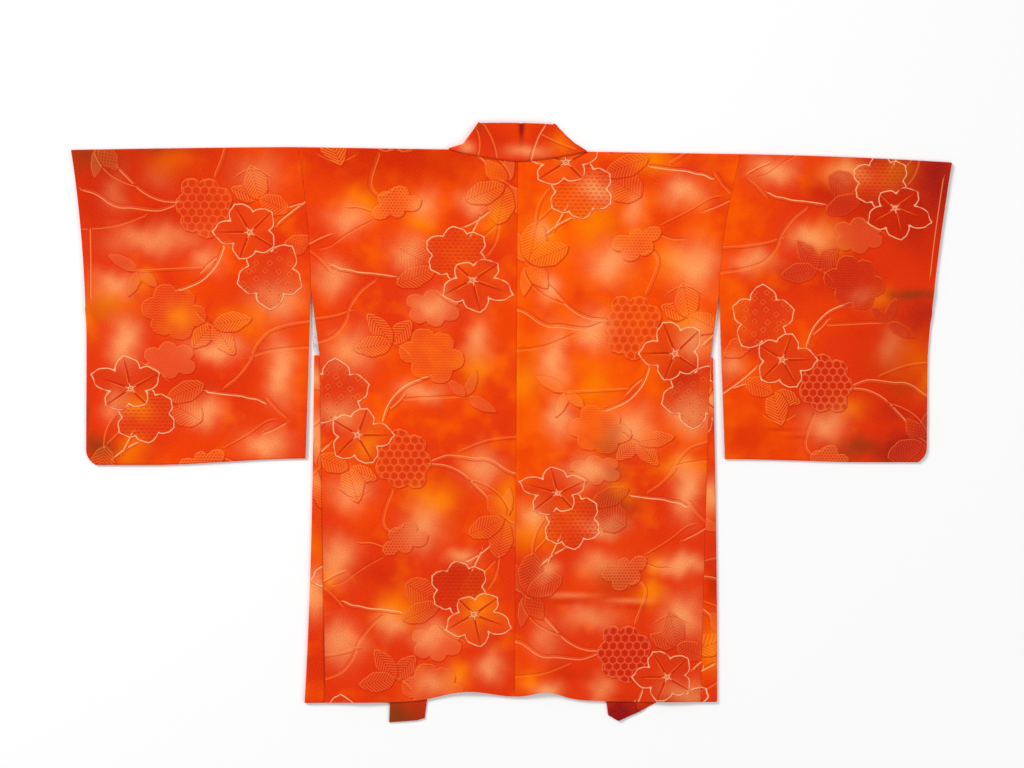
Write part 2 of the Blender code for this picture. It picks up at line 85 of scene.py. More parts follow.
# finer creases, in the same terms
creases = (
    (0.0045, 0.400, 0.380, 0.0016, 90, 0.00035),  # pressed beside the centre seam
    (0.585, 0.203, 0.028, 0.0045, 3, 0.0008),
    (0.388, 0.358, 0.022, 0.0060, 150, 0.0007),
    (0.395, 0.375, 0.018, 0.0050, 140, 0.0006),
    (-0.311, 0.016, 0.020, 0.0022, 84, 0.0006),
    (-0.306, 0.020, 0.018, 0.0020, 96, 0.0005),
    (0.317, 0.022, 0.020, 0.0022, 96, 0.0006),
    (0.323, 0.016, 0.018, 0.0020, 86, 0.0005),
    (-0.575, 0.380, 0.040, 0.0060, 75, 0.0007),
    (0.580, 0.385, 0.040, 0.0060, 104, 0.0007),
    (-0.480, 0.410, 0.060, 0.0080, 12, 0.0006),
    (0.470, 0.415, 0.060, 0.0080, 168, 0.0006),
    (-0.130, 0.760, 0.050, 0.0070, 84, 0.0009),
    (0.100, 0.765, 0.050, 0.0070, 98, 0.0009),
    (-0.240, 0.640, 0.090, 0.0060, 95, 0.0005),
    (0.245, 0.620, 0.090, 0.0060, 84, 0.0005),
    (-0.090, 0.120, 0.070, 0.0080, 62, 0.0005),
    (0.110, 0.130, 0.070, 0.0080, 118, 0.0005),
    (-0.360, 0.120, 0.060, 0.0070, 40, 0.0005),
    (0.370, 0.140, 0.060, 0.0070, 142, 0.0005),
)


def mix(start, end, share):
    return start + (end - start) * share


def ease(value, start, end):
    share = np.clip((value - start) / (end - start), 0, 1)
    return share * share * (3 - 2 * share)


def along(pairs, value):
    places, results = zip(*pairs)
    return np.interp(value, places, results)


def foldHeight(x, drop, rows):
    height = 0.0
    for foldX, foldDrop, length, width, angle, rise in rows:
        turn = math.radians(angle)
        run = (x - foldX) * math.cos(turn) - (drop - foldDrop) * math.sin(turn)
        side = (x - foldX) * math.sin(turn) + (drop - foldDrop) * math.cos(turn)
        height = height + rise * np.exp(-((run / length) ** 2) - (side / width) ** 2)
    return height


def waver(x, drop):
    # the faint unevenness of cloth laid by hand, never below the cloth's level
    wave = np.sin(31 * x + 9 * drop + 0.6) * np.sin(23 * drop - 12 * x + 1.9)
    ripple = np.sin(74 * x - 38 * drop + 2.1) * np.sin(61 * drop + 27 * x)
    return silk["wave"] * (1 + wave) / 2 + silk["ripple"] * (1 + ripple) / 2


def upperLevel(x, drop):
    # middle height of the back and of the sleeves' upper cloth
    besideNeck = 1 - ease(np.hypot(x, drop), *silk["neckReach"])
    level = silk["upper"] + foldHeight(x, drop, folds + creases) + waver(x, drop)
    return mix(level, silk["neck"], besideNeck)


def turned(low, high, angle):
    # inset and height of a point round a fold between two layers
    radius = (high - low) / 2
    inset = silk["wall"] / 2 + radius * (1 - np.cos(np.radians(angle)))
    return inset, (low + high) / 2 + radius * np.sin(np.radians(angle))


def spread(start, end, step, fine=(True, True)):
    # values from start to end, closer together beside a seam
    steps = silk["seamSteps"]
    first = [start] + ([start + value for value in steps] if fine[0] else [])
    last = ([end - value for value in reversed(steps)] if fine[1] else []) + [end]
    count = max(1, round((last[0] - first[-1]) / step))
    between = [mix(first[-1], last[0], (index + 1) / count) for index in range(count - 1)]
    return np.array(first + between + last)


def seamDip(distance):
    return silk["seamDip"] * np.exp(-((distance / silk["seamWidth"]) ** 2))


body = {
    "shoulder": {-1: 0.3155, 1: 0.3270},
    "armholeDrop": 0.205,
    "armholeCurve": 1.7,
    "underarm": 0.2967,
    "openingDrop": 0.2975,
    "hemDrop": 0.799,
    "backFoot": 0.273,
    "backOpening": 0.284,
    "frontFoot": 0.267,
    "openingFront": {-1: 0.2925, 1: 0.2872},
    "frontOpening": (0.2925, 0.3025),  # drops where the front meets its gusset
    "frontWaist": 0.282,
    "neckX": 0.0933,
    "necklineDip": 0.0035,
    "hemFlutes": ((-0.072, 0.050, 0.0115), (0.047, 0.028, 0.0095), (0.0, 0.110, 0.0065)),
    "hemTilt": 0.008,
    "hemReach": 0.150,
    "frontHem": {
        -1: ((0.178, 0.7980), (0.267, 0.7955)),
        1: ((0.178, 0.8165), (0.2105, 0.8005), (0.267, 0.8000)),
    },
    "startReach": 0.040,  # rows even out from the neckline within this
    "turnSteps": 8,
    "printWidth": 0.28,
    "printShift": {
        -1: ((0, 0), (0.8, 0)),
        1: (
            (0, 0.686), (0.06, 0.690), (0.25, 0.699), (0.30, 0.705), (0.405, 0.704), (0.50, 0.683),
            (0.57, 0.688), (0.73, 0.696), (0.8, 0.690),
        ),
    },
    "facingDrop": 0.70,  # from here down the fronts' inner face is the outer cloth, turned up
}
neckX = body["neckX"]
backSide = (
    (body["armholeDrop"], body["underarm"]),
    (body["openingDrop"], body["backOpening"]),
    (body["hemDrop"], body["backFoot"]),
)
frontSide = {
    side: (
        (body["armholeDrop"], body["underarm"]),
        (body["frontOpening"][0], body["openingFront"][side]),
        (body["frontOpening"][1], body["frontWaist"]),
        (body["hemDrop"], body["frontFoot"]),
    )
    for side in (-1, 1)
}

collar = {
    "rise": 0.0397,
    "top": {-1: 0.0575, 1: 0.0540},
    "foot": 0.1005,
    "dip": 0.0162,
    "dipCurve": 1.5,
    "hem": {-1: 0.1300, 1: 0.1373},
    "foldCurve": 1.4,
    "seamHem": {-1: 0.1805, 1: 0.1780},
    "seamBow": 0.35,
    "overlap": 0.007,
    "edgeClear": 0.001,
    "stepRun": 0.009,
    "puff": 0.0015,
    "footClear": 0.0016,
    "seamClear": 0.0020,
    "tuck": (0.004, 0.003),  # place and width
    "tuckDepth": 0.95,
    "foldEase": 0.4,
    "crease": 0.0012,
    "creaseFrom": (0.802, 0.815),
    "frontDrop": 0.828,
    "tabTaper": 0.0010,
    "end": {
        -1: ((0.1300, 0.8205), (0.141, 0.8238), (0.180, 0.8261)),
        1: ((0.1373, 0.8190), (0.1522, 0.828), (0.181, 0.8156)),
    },
    "tucked": 0.93,
    "tuckedFrom": 0.780,
    "cornerReach": 0.110,
    "firstRow": 0.0275,
    "bow": {
        -1: ((0, 0), (0.355, 0.0050), (0.65, 0.0088), (1, 0)),
        1: ((0, 0), (0.355, 0.0026), (0.65, 0.0031), (1, 0)),
    },
    "bowFrom": {-1: 0.75, 1: 0.84},
    "across": 15,
    "foldSteps": 5,
    "turnSteps": 11,
    "ridge": (0.355, 0.16),  # place and width of the tab's crease, as shares of its breadth
    "endFrom": 0.760,
    "cornerRows": 6,
    "backRows": ((0.98, 0.16, 42), (0.15, -0.02, 24), (-0.04, -0.98, 48)),  # close at the tuck
    "printHalf": 0.056,  # how much of the print each half of the band takes
    "printLengths": (0.098, 0.10, 0.005),  # to the end of the back, round the end, each corner row
}


def armholeX(side, drop):
    share = np.clip(1 - drop / body["armholeDrop"], 0, 1)
    return mix(body["underarm"], body["shoulder"][side], share ** body["armholeCurve"])


def sideX(side, pairs, drop):
    return np.where(drop < body["armholeDrop"], armholeX(side, drop), along(pairs, drop))


def seamX(side, drop):
    # seam of the collar with the front
    share = np.maximum(0.0, drop / body["hemDrop"])
    return neckX + (collar["seamHem"][side] - neckX) * share * (1 + collar["seamBow"] * (1 - share))


def collarFoldX(side, drop):
    share = np.maximum(0.0, drop + collar["rise"]) / (collar["frontDrop"] + collar["rise"])
    return mix(collar["top"][side], collar["hem"][side], share ** collar["foldCurve"])


def necklineDrop(x):
    start = silk["wall"] / 2 + (silk["neck"] - silk["second"]) / 2
    return start + body["necklineDip"] * (1 - np.minimum(1.0, np.abs(x) / neckX) ** 2)


def backHem(x):
    drawn = sum(rise * np.exp(-(((x - at) / width) ** 2)) for at, width, rise in body["hemFlutes"])
    return body["hemDrop"] + body["hemTilt"] * x - drawn


def hemmed(drop, hem):
    reach = ease(drop, body["hemDrop"] - body["hemReach"], body["hemDrop"])
    return drop + (hem - body["hemDrop"]) * reach


def deselectAll():
    for item in list(bpy.context.selected_objects):
        item.select_set(False)


def choose(*items):
    deselectAll()
    for item in items:
        item.select_set(True)
    bpy.context.view_layer.objects.active = items[0]


def layOut(name, x, drop, z, across, length):
    # a grid whose points are moved to their places, with the cloth's own coordinates as its UV map
    rows, columns = x.shape
    deselectAll()
    bpy.ops.mesh.primitive_grid_add(x_subdivisions=columns - 1, y_subdivisions=rows - 1, size=1)
    piece = bpy.context.active_object
    piece.name = name
    piece.data.name = name
    piece.data.vertices.foreach_set("co", np.stack([x, shoulderY - drop, z], -1).ravel())
    corners = np.zeros(len(piece.data.loops), dtype=np.int32)
    piece.data.loops.foreach_get("vertex_index", corners)
    flat = np.stack([across, length], -1).reshape(-1, 2)
    uvMap = piece.data.uv_layers.active or piece.data.uv_layers.new()
    uvMap.name = "cloth"
    uvMap.data.foreach_set("uv", flat[corners].ravel())
    return piece


def removePoints(piece, hidden):
    # cuts away the points that the shape doesn't have
    choose(piece)
    bpy.ops.object.mode_set(mode="EDIT")
    bpy.ops.mesh.select_mode(type="VERT")
    bpy.ops.mesh.select_all(action="DESELECT")
    bpy.ops.object.mode_set(mode="OBJECT")
    piece.data.vertices.foreach_set("select", hidden.ravel())
    bpy.ops.object.mode_set(mode="EDIT")
    bpy.ops.mesh.delete(type="VERT")
    bpy.ops.object.mode_set(mode="OBJECT")


def sewUp(piece, *others):
    # joins the parts of one cloth, merges what meets and turns the faces outwards,
    # which is upwards on the cloth that lies highest
    choose(piece, *others)
    if others:
        bpy.ops.object.join()
    bpy.ops.object.mode_set(mode="EDIT")
    bpy.ops.mesh.select_all(action="SELECT")
    bpy.ops.mesh.remove_doubles(threshold=silk["merge"])
    bpy.ops.mesh.normals_make_consistent(inside=False)
    bpy.ops.object.mode_set(mode="OBJECT")
    faces = sorted(piece.data.polygons, key=lambda face: face.center.z)
    if sum(face.normal.z for face in faces[-silk["topFaces"]:]) < 0:
        bpy.ops.object.mode_set(mode="EDIT")
        bpy.ops.mesh.select_all(action="SELECT")
        bpy.ops.mesh.flip_normals()
        bpy.ops.object.mode_set(mode="OBJECT")


def stackRows(parts, columns):
    # the rows of several stretches of one cloth, as one grid of each value
    return [
        np.concatenate([np.broadcast_to(part[index], (part[1].shape[0], columns)) for part in parts])
        for index in range(4)
    ]


def bodyLength(name, side):
    outerX = body["shoulder"][side] - halfGap
    neckColumns = spread(halfGap, neckX, silk["grain"], (True, False))[:-1]
    shoulderColumns = spread(neckX, outerX, silk["grain"], (False, True))
    columns = np.concatenate([neckColumns, shoulderColumns])[None, :]
    reach = (columns - neckX) / (outerX - neckX)
    neckCount = len(neckColumns)
    clear = collar["overlap"] + collar["edgeClear"]

    def frontLevel(distance):
        return mix(silk["second"], silk["lowest"], ease(distance, clear, clear + collar["stepRun"]))

    shoulderLow = frontLevel(columns - neckX)
    shoulderHigh = upperLevel(side * columns, 0.0)

    # the front, from its hem up to the shoulder
    level = spread(0.0, body["hemDrop"], silk["hiddenGrain"], (False, True))[::-1, None]
    outer = sideX(side, frontSide[side], level) - halfGap
    start = turned(shoulderLow, shoulderHigh, -90)[0]
    startEven = start * np.clip(1 - level / body["startReach"], 0, 1)
    inner = seamX(side, level) + halfGap
    frontX = mix(inner, outer, np.maximum(reach, 0))
    drop = hemmed(level, along(body["frontHem"][side], frontX)) + startEven
    inner = seamX(side, drop) + halfGap
    frontX = mix(inner, outer, np.maximum(reach, 0))
    front = (side * frontX, drop, frontLevel(frontX - inner), -drop)

    # over the shoulder
    angle = np.linspace(-90, 90, body["turnSteps"] + 1)[1:-1, None]
    inset, z = turned(shoulderLow, shoulderHigh, angle)
    over = (side * columns + 0 * angle, inset, z, inset * np.sign(angle))

    # the back, down to its hem
    level = spread(0.0, body["hemDrop"], silk["grain"], (False, True))[:, None]
    narrowing = (sideX(side, backSide, level) - halfGap) / outerX
    start = np.where(reach < 0, necklineDrop(columns), turned(shoulderLow, shoulderHigh, 90)[0])
    backX = columns * narrowing
    hem = backHem(side * columns * (body["backFoot"] - halfGap) / outerX)
    drop = hemmed(level, hem) + start * np.clip(1 - level / body["startReach"], 0, 1)
    z = upperLevel(side * backX, drop)
    edge = sideX(side, backSide, level) - halfGap - backX
    awayFromNeck = ease(drop, *silk["dipFrom"])
    z = z - seamDip(backX - halfGap) * awayFromNeck - seamDip(edge) * awayFromNeck
    back = (side * backX, drop, z, drop)

    x, drop, z, length = stackRows((front, over, back), columns.shape[1])
    fronts, backs = (sideX(side, pairs, np.abs(length)) for pairs in (frontSide[side], backSide))
    across = -np.abs(x) * body["printWidth"] / np.where(length < 0, fronts, backs)
    shift = along(body["printShift"][side], length)
    piece = layOut(name, x, drop, z, across, shift - side * length)
    hidden = np.zeros(x.shape, dtype=bool)
    hidden[: x.shape[0] - back[1].shape[0], :neckCount] = True
    removePoints(piece, hidden)
    sewUp(piece)
    return piece


sleeve = {
    "wrist": {-1: 0.6355, 1: 0.6435},
    "wristDrop": {-1: 0.0090, 1: 0.0075},
    "topBend": {-1: 1.2, 1: 2.0},
    "wristTaper": {-1: 0.022, 1: 0.0335},
    "taperLength": 0.295,
    "taperCurve": {-1: 2.0, 1: 1.35},
    "wristOpening": 0.224,
    "sewnFrom": 0.028,
    "drop": 0.4463,
    "fall": {-1: 0.0095, 1: 0.0042},
    "fallReach": 0.75,
    "foot": {-1: 0.303, 1: 0.307},
    "corner": 0.022,
    "seamTurn": 0.0015,
    "seamInset": 0.0009,
    "edgeTurn": 0.3,
    "turnSteps": 8,
    "topEase": 0.08,  # share of the length over which the top fold's inset dies out
    "edgeAngles": (-50, 0, 50),
    "printShift": {-1: (0.612, 0.535), 1: (0.619, 0.112)},
}


def topFold(side, reach):
    return sleeve["wristDrop"][side] * reach ** sleeve["topBend"][side]


def bottomSeam(side, reach):
    return sleeve["drop"] + sleeve["fall"][side] * ease(reach, 0.0, sleeve["fallReach"])


def wristX(side, drop):
    share = np.maximum(0.0, 1 - (drop - sleeve["wristDrop"][side]) / sleeve["taperLength"])
    taper = share ** sleeve["taperCurve"][side]
    edge = sleeve["wrist"][side] - sleeve["wristTaper"][side] * (1 - taper)
    corner = sleeve["corner"]
    reach = np.clip(corner - (bottomSeam(side, 1.0) - drop), 0, corner)
    return edge - corner + np.sqrt(corner**2 - reach**2)


def sleeveTube(name, side):
    width = sleeve["wrist"][side] - body["shoulder"][side]
    reach = (spread(0, width, silk["grain"]) / width)[None, :]
    share = (spread(0.0, sleeve["drop"], silk["grain"], (False, True)) / sleeve["drop"])[:, None]
    sewnWidth = sleeve["seamTurn"] + sleeve["seamInset"]
    innerEdge = ((body["armholeDrop"], body["underarm"]), (sleeve["drop"], sleeve["foot"][side]))
    shiftX, shiftB = sleeve["printShift"][side]

    def printed(x, length):
        return side * x - shiftX, shiftB + side * length

    # the upper cloth, then the lower one under it
    foot = bottomSeam(side, reach)
    drop = mix(topFold(side, reach), foot - sewnWidth, share)
    opening = sleeve["wristOpening"]
    sewn = ease(share * sleeve["drop"], opening, opening + sleeve["sewnFrom"])
    inner = sideX(side, innerEdge, drop) + halfGap
    x = mix(inner, wristX(side, drop) - sewnWidth * sewn, reach)
    way = np.arcsin(np.clip((sleeve["corner"] - (foot - drop)) / sleeve["corner"], 0, 1))
    level = upperLevel(side * x, drop)
    inset = turned(silk["lowest"], level[:1], 90)[0] * np.clip(1 - share / sleeve["topEase"], 0, 1)
    upperZ = level - seamDip(x - inner) * ease(drop, *silk["dipFrom"])
    upper = (side * x, drop + inset, upperZ, drop + inset)
    lower = (side * x, drop + inset, silk["lowest"] + 0 * x, -(drop + inset))

    # round the bottom seam and over the top fold
    middle = (upperZ + silk["lowest"]) / 2
    half = (upperZ - silk["lowest"]) / 2
    angles = np.array(sleeve["edgeAngles"])[:, None]
    turnOut = sleeve["seamTurn"] * np.cos(np.radians(angles))
    corner = np.where(np.arange(reach.shape[1]) == reach.shape[1] - 1, np.cos(way[-1, -1]), 0)[None, :]
    bottomDrop = drop[-1:] + turnOut
    bottomZ = middle[-1:] + half[-1:] * np.sin(np.radians(angles))
    bottom = (side * (x[-1:] + turnOut * corner), bottomDrop, bottomZ, bottomDrop)
    turn = np.linspace(-90, 90, sleeve["turnSteps"] + 1)[1:-1, None]
    turnInset, turnZ = turned(silk["lowest"], level[:1], turn)
    turnDrop = drop[:1] + turnInset
    over = (side * x[:1] + 0 * turn, turnDrop, turnZ, turnDrop * np.sign(turn))
    bottom, lower = ([values[::-1] for values in part] for part in (bottom, lower))
    parts = [upper, bottom, lower, over, [values[:1] for values in upper]]
    allX, allDrop, allZ, length = stackRows(parts, reach.shape[1])
    piece = layOut(name, allX, allDrop, allZ, *printed(allX, length))

    # closes the wrist edge below its opening
    first = int(np.argmax(sewn[:, -1] > 0)) - 1
    edge, edgeDrop, edgeWay, middle, half, edgeSewn = (
        values[first:, -1:] for values in (x, drop + inset, way, middle, half, sewn)
    )
    angles = np.radians((90, *sleeve["edgeAngles"][::-1], -90))[None, :]
    away = sleeve["seamTurn"] * np.cos(angles) * np.maximum(edgeSewn, sleeve["edgeTurn"])
    edgeX = side * (edge + away * np.cos(edgeWay))
    edgeDrop = edgeDrop + away * np.sin(edgeWay)
    edgeZ = middle + half * np.sin(angles)
    strip = layOut(name + "Wrist", edgeX, edgeDrop, edgeZ, *printed(edgeX, edgeDrop))
    sewUp(piece, strip)
    return piece


gusset = {
    "top": {-1: 0.2915, 1: 0.2885},
    "widen": {-1: 0.0035, 1: 0.0135},
    "flare": {-1: 0.0080, 1: -0.0040},
    "slant": 0.0054,
    "across": 6,
    "turnSteps": 6,
    "rowShare": 0.0055,
    "printStep": 0.0022,
    "printShift": {-1: (-0.02, 0.07), 1: (-0.05, 0.31)},
}


def gussetStrip(name, side):
    share = spread(0.0, 1.0, gusset["rowShare"], (False, False))[:, None]
    hem = backHem(side * body["backFoot"])
    drop = mix(body["openingDrop"] + silk["gap"], hem, share)
    frontHem = along(body["frontHem"][side], body["frontFoot"])
    frontDrop = mix(body["openingDrop"] + gusset["slant"], frontHem, share)
    backX = along(backSide, drop) + halfGap
    frontX = along(frontSide[side], frontDrop) + halfGap
    down = (drop - body["openingDrop"]) / (body["hemDrop"] - body["openingDrop"])
    foldX = gusset["top"][side] + gusset["widen"][side] * down + gusset["flare"][side] * down**3
    high = upperLevel(side * foldX, drop)
    innerX = foldX - turned(silk["lowest"], high, 90)[0]
    across = np.linspace(0, 1, gusset["across"] + 1)[None, :]
    upperX = mix(backX, innerX, across)
    upperZ = upperLevel(side * upperX, drop) - seamDip(upperX - backX)
    turn = np.linspace(90, -90, gusset["turnSteps"] + 1)[None, 1:-1]
    inset, turnZ = turned(silk["lowest"], high, turn)
    lowX = mix(innerX, frontX, across)
    lowDrop = mix(drop, frontDrop, across)
    x = np.concatenate([upperX, foldX - inset, lowX], 1)
    drops = np.concatenate([drop + 0 * across, drop + 0 * turn, lowDrop], 1)
    z = np.concatenate([upperZ, turnZ, silk["lowest"] + 0 * lowX], 1)
    shiftX, shiftB = gusset["printShift"][side]
    printX = shiftX + gusset["printStep"] * np.arange(x.shape[1])[None, :] + 0 * x
    piece = layOut(name, side * x, drops, z, printX, shiftB + drops)
    sewUp(piece)
    return piece


def collarSection(fold, seam, free, out, puff=0.0, crease=0.0, inwards=(0, 0), bow=None):
    # across the collar: its inner half from the seam to the fold, then its free half
    values = (fold, seam, free, inwards, out)
    fold, seam, free, inwards, way = (np.array(value, dtype=float) for value in values)
    axisZ = (silk["second"] + silk["neck"]) / 2
    innerRadius = (silk["neck"] - silk["second"]) / 2
    thick = layer + puff
    over = (fold - seam) / np.hypot(*(fold - seam))
    inner = np.linspace(1, 0, collar["across"])
    outer = inner[::-1]
    turn = np.linspace(0, math.pi, collar["foldSteps"] + 2)[1:-1]
    bend = along(bow[0], inner) * bow[1] if bow else 0 * inner
    at, width = collar["ridge"]
    ridge = crease * np.exp(-(((inner - at) / width) ** 2))
    plan = (
        fold + (seam - fold) * inner[:, None] + inwards * bend[:, None],
        fold + over * (thick / 2 * np.sin(turn))[:, None],
        fold + (free - fold) * outer[:, None] + inwards * bend[::-1, None],
    )
    radius = (0 * inner, thick / 2 * (1 - np.cos(turn)), mix(thick, layer, outer))
    radius = innerRadius + np.concatenate(radius)
    plan = np.concatenate(plan) + way[:2] * radius[:, None]
    rise = np.concatenate([ridge, 0 * turn, 0 * outer])
    across = np.concatenate([-inner, 0 * turn, outer]) * collar["printHalf"]
    return np.column_stack([plan, axisZ + way[2] * radius + rise, across])


def neckEnd(side):
    top = np.array((collar["top"][side], -collar["rise"]))
    foot = np.array((collar["foot"], 0.0))
    slant = (foot - top) / np.hypot(*(foot - top))
    out = np.array((slant[1], -slant[0]))
    inset = silk["wall"] / 2 + layer + (silk["neck"] - silk["second"]) / 2
    fold = top - out * inset
    free = foot - out * inset - np.array((0.0, collar["footClear"]))
    seam = np.array((neckX - collar["seamClear"], necklineDrop(neckX) - silk["gap"]))
    return fold, seam, free, out


def collarFront(side, level):
    corner, cornerSeam = neckEnd(side)[:2]
    rise = (cornerSeam[1] - corner[1]) * (1 - ease(level, 0.0, collar["cornerReach"]))
    foldDrop = level - rise
    taper = collar["tabTaper"] * ease(level, body["hemDrop"], collar["frontDrop"]) if side < 0 else 0.0
    overlap = collar["overlap"]
    if side < 0:
        overlap *= 1 - collar["tucked"] * ease(level, collar["tuckedFrom"], body["hemDrop"])
    atEnd = ease(level, collar["endFrom"], collar["frontDrop"])
    endDrop = along(collar["end"][side], seamX(side, level))
    edgeX = seamX(side, level + (endDrop - collar["frontDrop"]) * atEnd) - halfGap - taper
    fold = (side * (collarFoldX(side, foldDrop) + silk["wall"] / 2 + layer / 2), foldDrop)
    crease = collar["crease"] * ease(level, *collar["creaseFrom"]) if side > 0 else 0.0
    seam = (side * edgeX, level)
    free = (side * (edgeX + overlap), level)
    points = collarSection(fold, seam, free, (0, 0, -1), crease=crease)
    points[:, 1] -= (collar["frontDrop"] - along(collar["end"][side], np.abs(points[:, 0]))) * atEnd
    return points


def collarTurn(side, angle):
    # a row of the slanting end, from under the front at -90 degrees to above the back at 90
    fold, seam, free, out = neckEnd(side)
    turn = math.radians(angle)
    flip = np.array((side, 1))
    way = (side * out[0] * math.cos(turn), out[1] * math.cos(turn), math.sin(turn))
    inwards = -out * flip
    bow = (collar["bow"][side], 1.0)
    return collarSection(fold * flip, seam * flip, free * flip, way, inwards=inwards, bow=bow)


def collarBack(share):
    side = 1 if share > 0 else -1
    fold, seam, free, out = neckEnd(side)
    toCentre = 1 - share**2
    foldDrop = -collar["rise"] + silk["wall"] / 2 + (layer + collar["puff"]) / 2
    at, width = collar["tuck"]
    tuck = math.exp(-(((share * fold[0] - at) / width) ** 2))
    puff = collar["puff"] * toCentre * (1 - collar["tuckDepth"] * tuck)
    bowFrom = collar["bowFrom"][side]
    bowed = max(0.0, (abs(share) - bowFrom) / (1 - bowFrom))
    return collarSection(
        (share * fold[0], mix(fold[1], foldDrop, ease(toCentre, 0.0, collar["foldEase"]))),
        (share * seam[0], necklineDrop(share * seam[0]) - silk["gap"]),
        (share * free[0], mix(free[1], collar["dip"], 1 - abs(share) ** collar["dipCurve"])),
        (0, 0, 1),
        puff=puff,
        inwards=-out * np.array((side, 1)),
        bow=(collar["bow"][side], bowed),
    )


def collarBand(name):
    levels = spread(collar["firstRow"], collar["frontDrop"], silk["hiddenGrain"], (False, True))
    steps = np.arange(1, collar["cornerRows"])
    backLength, endLength, stepLength = collar["printLengths"]

    def measured(rows, lengths):
        # each row with how far along the band it lies
        return [np.column_stack([row, length + 0 * row[:, 0]]) for row, length in zip(rows, lengths)]

    rows = {}
    for side in (-1, 1):
        turn = [collarTurn(side, angle) for angle in np.linspace(-90, 90, collar["turnSteps"] + 1)]
        front = [collarFront(side, level) for level in levels]
        corner = [mix(turn[0], front[0], step / collar["cornerRows"]) for step in steps]
        lengths = np.concatenate([np.zeros(len(turn)), stepLength * steps, levels]) + endLength
        rows[side] = measured(turn[::-1] + corner + front, side * lengths)
    shares = np.concatenate([np.linspace(*stretch) for stretch in collar["backRows"]])
    back = measured([collarBack(share) for share in shares], shares * backLength)
    x, drop, z, across, length = np.moveaxis(np.array(rows[1][::-1] + back + rows[-1]), -1, 0)
    # the print runs on over the fold, and hides its far side under the neck
    down = np.where(across < 0, -2 * collar["rise"] - drop, drop)
    hidden = np.abs(length) > endLength + stepLength / 2
    piece = layOut(name, x, drop, z, np.where(hidden, -np.abs(x), x), down)
    sewUp(piece)
    return piece


pieces = {}
for sideName, side in (("Left", -1), ("Right", 1)):
    pieces["body" + sideName] = bodyLength("body" + sideName, side)
    pieces["sleeve" + sideName] = sleeveTube("sleeve" + sideName, side)
    pieces["gusset" + sideName] = gussetStrip("gusset" + sideName, side)
pieces["neckBand"] = collarBand("neckBand")
print("pieces laid out")

# The dyed picture. Every motif stands on one tile of the cloth, which repeats along its length.
# Places are in centimetres: across from the centre seam, then down the length.
tile = {
    "repeat": 48.3,
    "margin": 0.45,  # how far outside its outline a motif is kept
    "vineReach": 0.7,
    "spare": 0.3,
    "far": 9.0,  # stands for no motif or vine
    "plain": (-77, 143),  # beyond these lengths lie the front hems, without motifs
    "neckPlain": 11,
    "turnedRepeat": 20,  # where the lower repeat starts on a cloth that lies upside down
    "vinePoints": 5,
    "veinLength": 0.93,
    "petalPoints": 13,
    "pointed": 0.20,  # share of a petal's length that is its point
    "rounded": 0.06,
    "pointWidth": 0.13,
    "lobe": (2.1, 0.8),  # how full a petal's shoulders are
    "uneven": 0.06,  # how much longer some petals are
    "wobble": 0.018,
    "leafPoints": 11,
    "plump": 1.25,  # how far out a ribbed leaf is widest
}

# name, kind of fill, strength of the outline, place of its heart, how many petals, half its length
# and breadth, which way its length leans, which way its first petal points, how far its petals lie
# off the heart, how far out the notches between them are
flowers = (
    ("star", "veins", 1.0, (-22.8, 41.2), 5, (4.7, 4.3), 20, -76, (0.5, 0.2), 0.66),
    ("chequer", "squares", 1.0, (-25.8, 35.2), 5, (5.2, 4.8), 60, -88, (0, 0), 0.66),
    ("lily", "veins", 1.0, (-6.1, 18.8), 5, (5, 4), 5, -128, (0.8, 0.9), 0.66),
    ("scales", "ripples", 1.0, (-8, 15), 6, (4.5, 4.1), 10, -95, (-0.3, 0), 0.76),
    ("comb", "hexagons", 0.45, (-16.4, 45), 7, (4.5, 4.1), 80, -100, (0.2, -0.2), 0.84),
    ("dots", "pindots", 0.35, (-16.3, 8), 5, (3.6, 2.2), -25, -70, (0.1, -0.1), 0.72),
    ("waves", "zigzags", 0.3, (-12, 29.8), 6, (4.6, 3.9), 10, -112, (0, 0), 0.80),
    ("shade", "plain", 0.3, (-11.5, 22.8), 6, (4.2, 2.7), 0, -95, (0, 0), 0.78),
)

# name, kind of fill, strength, root, tip, half width
leaves = (
    ("pair", "ribs", 0.4, (-11.0, 17.2), (-16.6, 19.6), 1.5),
    ("pair", "ribs", 0.35, (-11.9, 16.7), (-16.2, 14.2), 2.1),
    ("fan", "ribs", 0.45, (-1.6, 5.0), (-7.0, 7.3), 1.65),
    ("fan", "ribs", 0.45, (-1.6, 5.0), (-2.7, 10.8), 1.8),
    ("fan", "plain", 0.45, (-1.6, 5.0), (1.6, 10.0), 1.3),
    ("fan", "nets", 0.45, (-1.6, 5.0), (-4.2, 1.4), 1.3),
    ("fan", "plain", 0.45, (-1.6, 5.0), (-0.9, 0.2), 0.9),
    ("fern", "chevrons", 0.4, (-17.6, 28.0), (-23.3, 28.9), 1.5),
    ("fern", "chevrons", 0.4, (-17.6, 28.0), (-20.8, 23.6), 1.4),
    ("fern", "chevrons", 0.4, (-17.6, 28.0), (-14.6, 24.6), 1.4),
    ("sprig", "plain", 0.5, (-7.25, 35.6), (-9.9, 33.2), 0.8),
    ("sprig", "plain", 0.5, (-7.25, 35.6), (-5.7, 31.8), 0.8),
    ("sprig", "plain", 0.5, (-7.25, 35.6), (-2.7, 37.9), 0.9),
    ("low", "ribs", 0.3, (-24.1, 46.1), (-28.4, 44.3), 1.5),
    ("low", "chevrons", 0.35, (-24.3, 45.8), (-22.8, 51.0), 1.7),
    ("low", "chevrons", 0.2, (-24.0, 46.0), (-20.0, 47.6), 1.2),
    ("net", "nets", 0.25, (-27.4, 38.2), (-31.6, 40.8), 1.5),
)

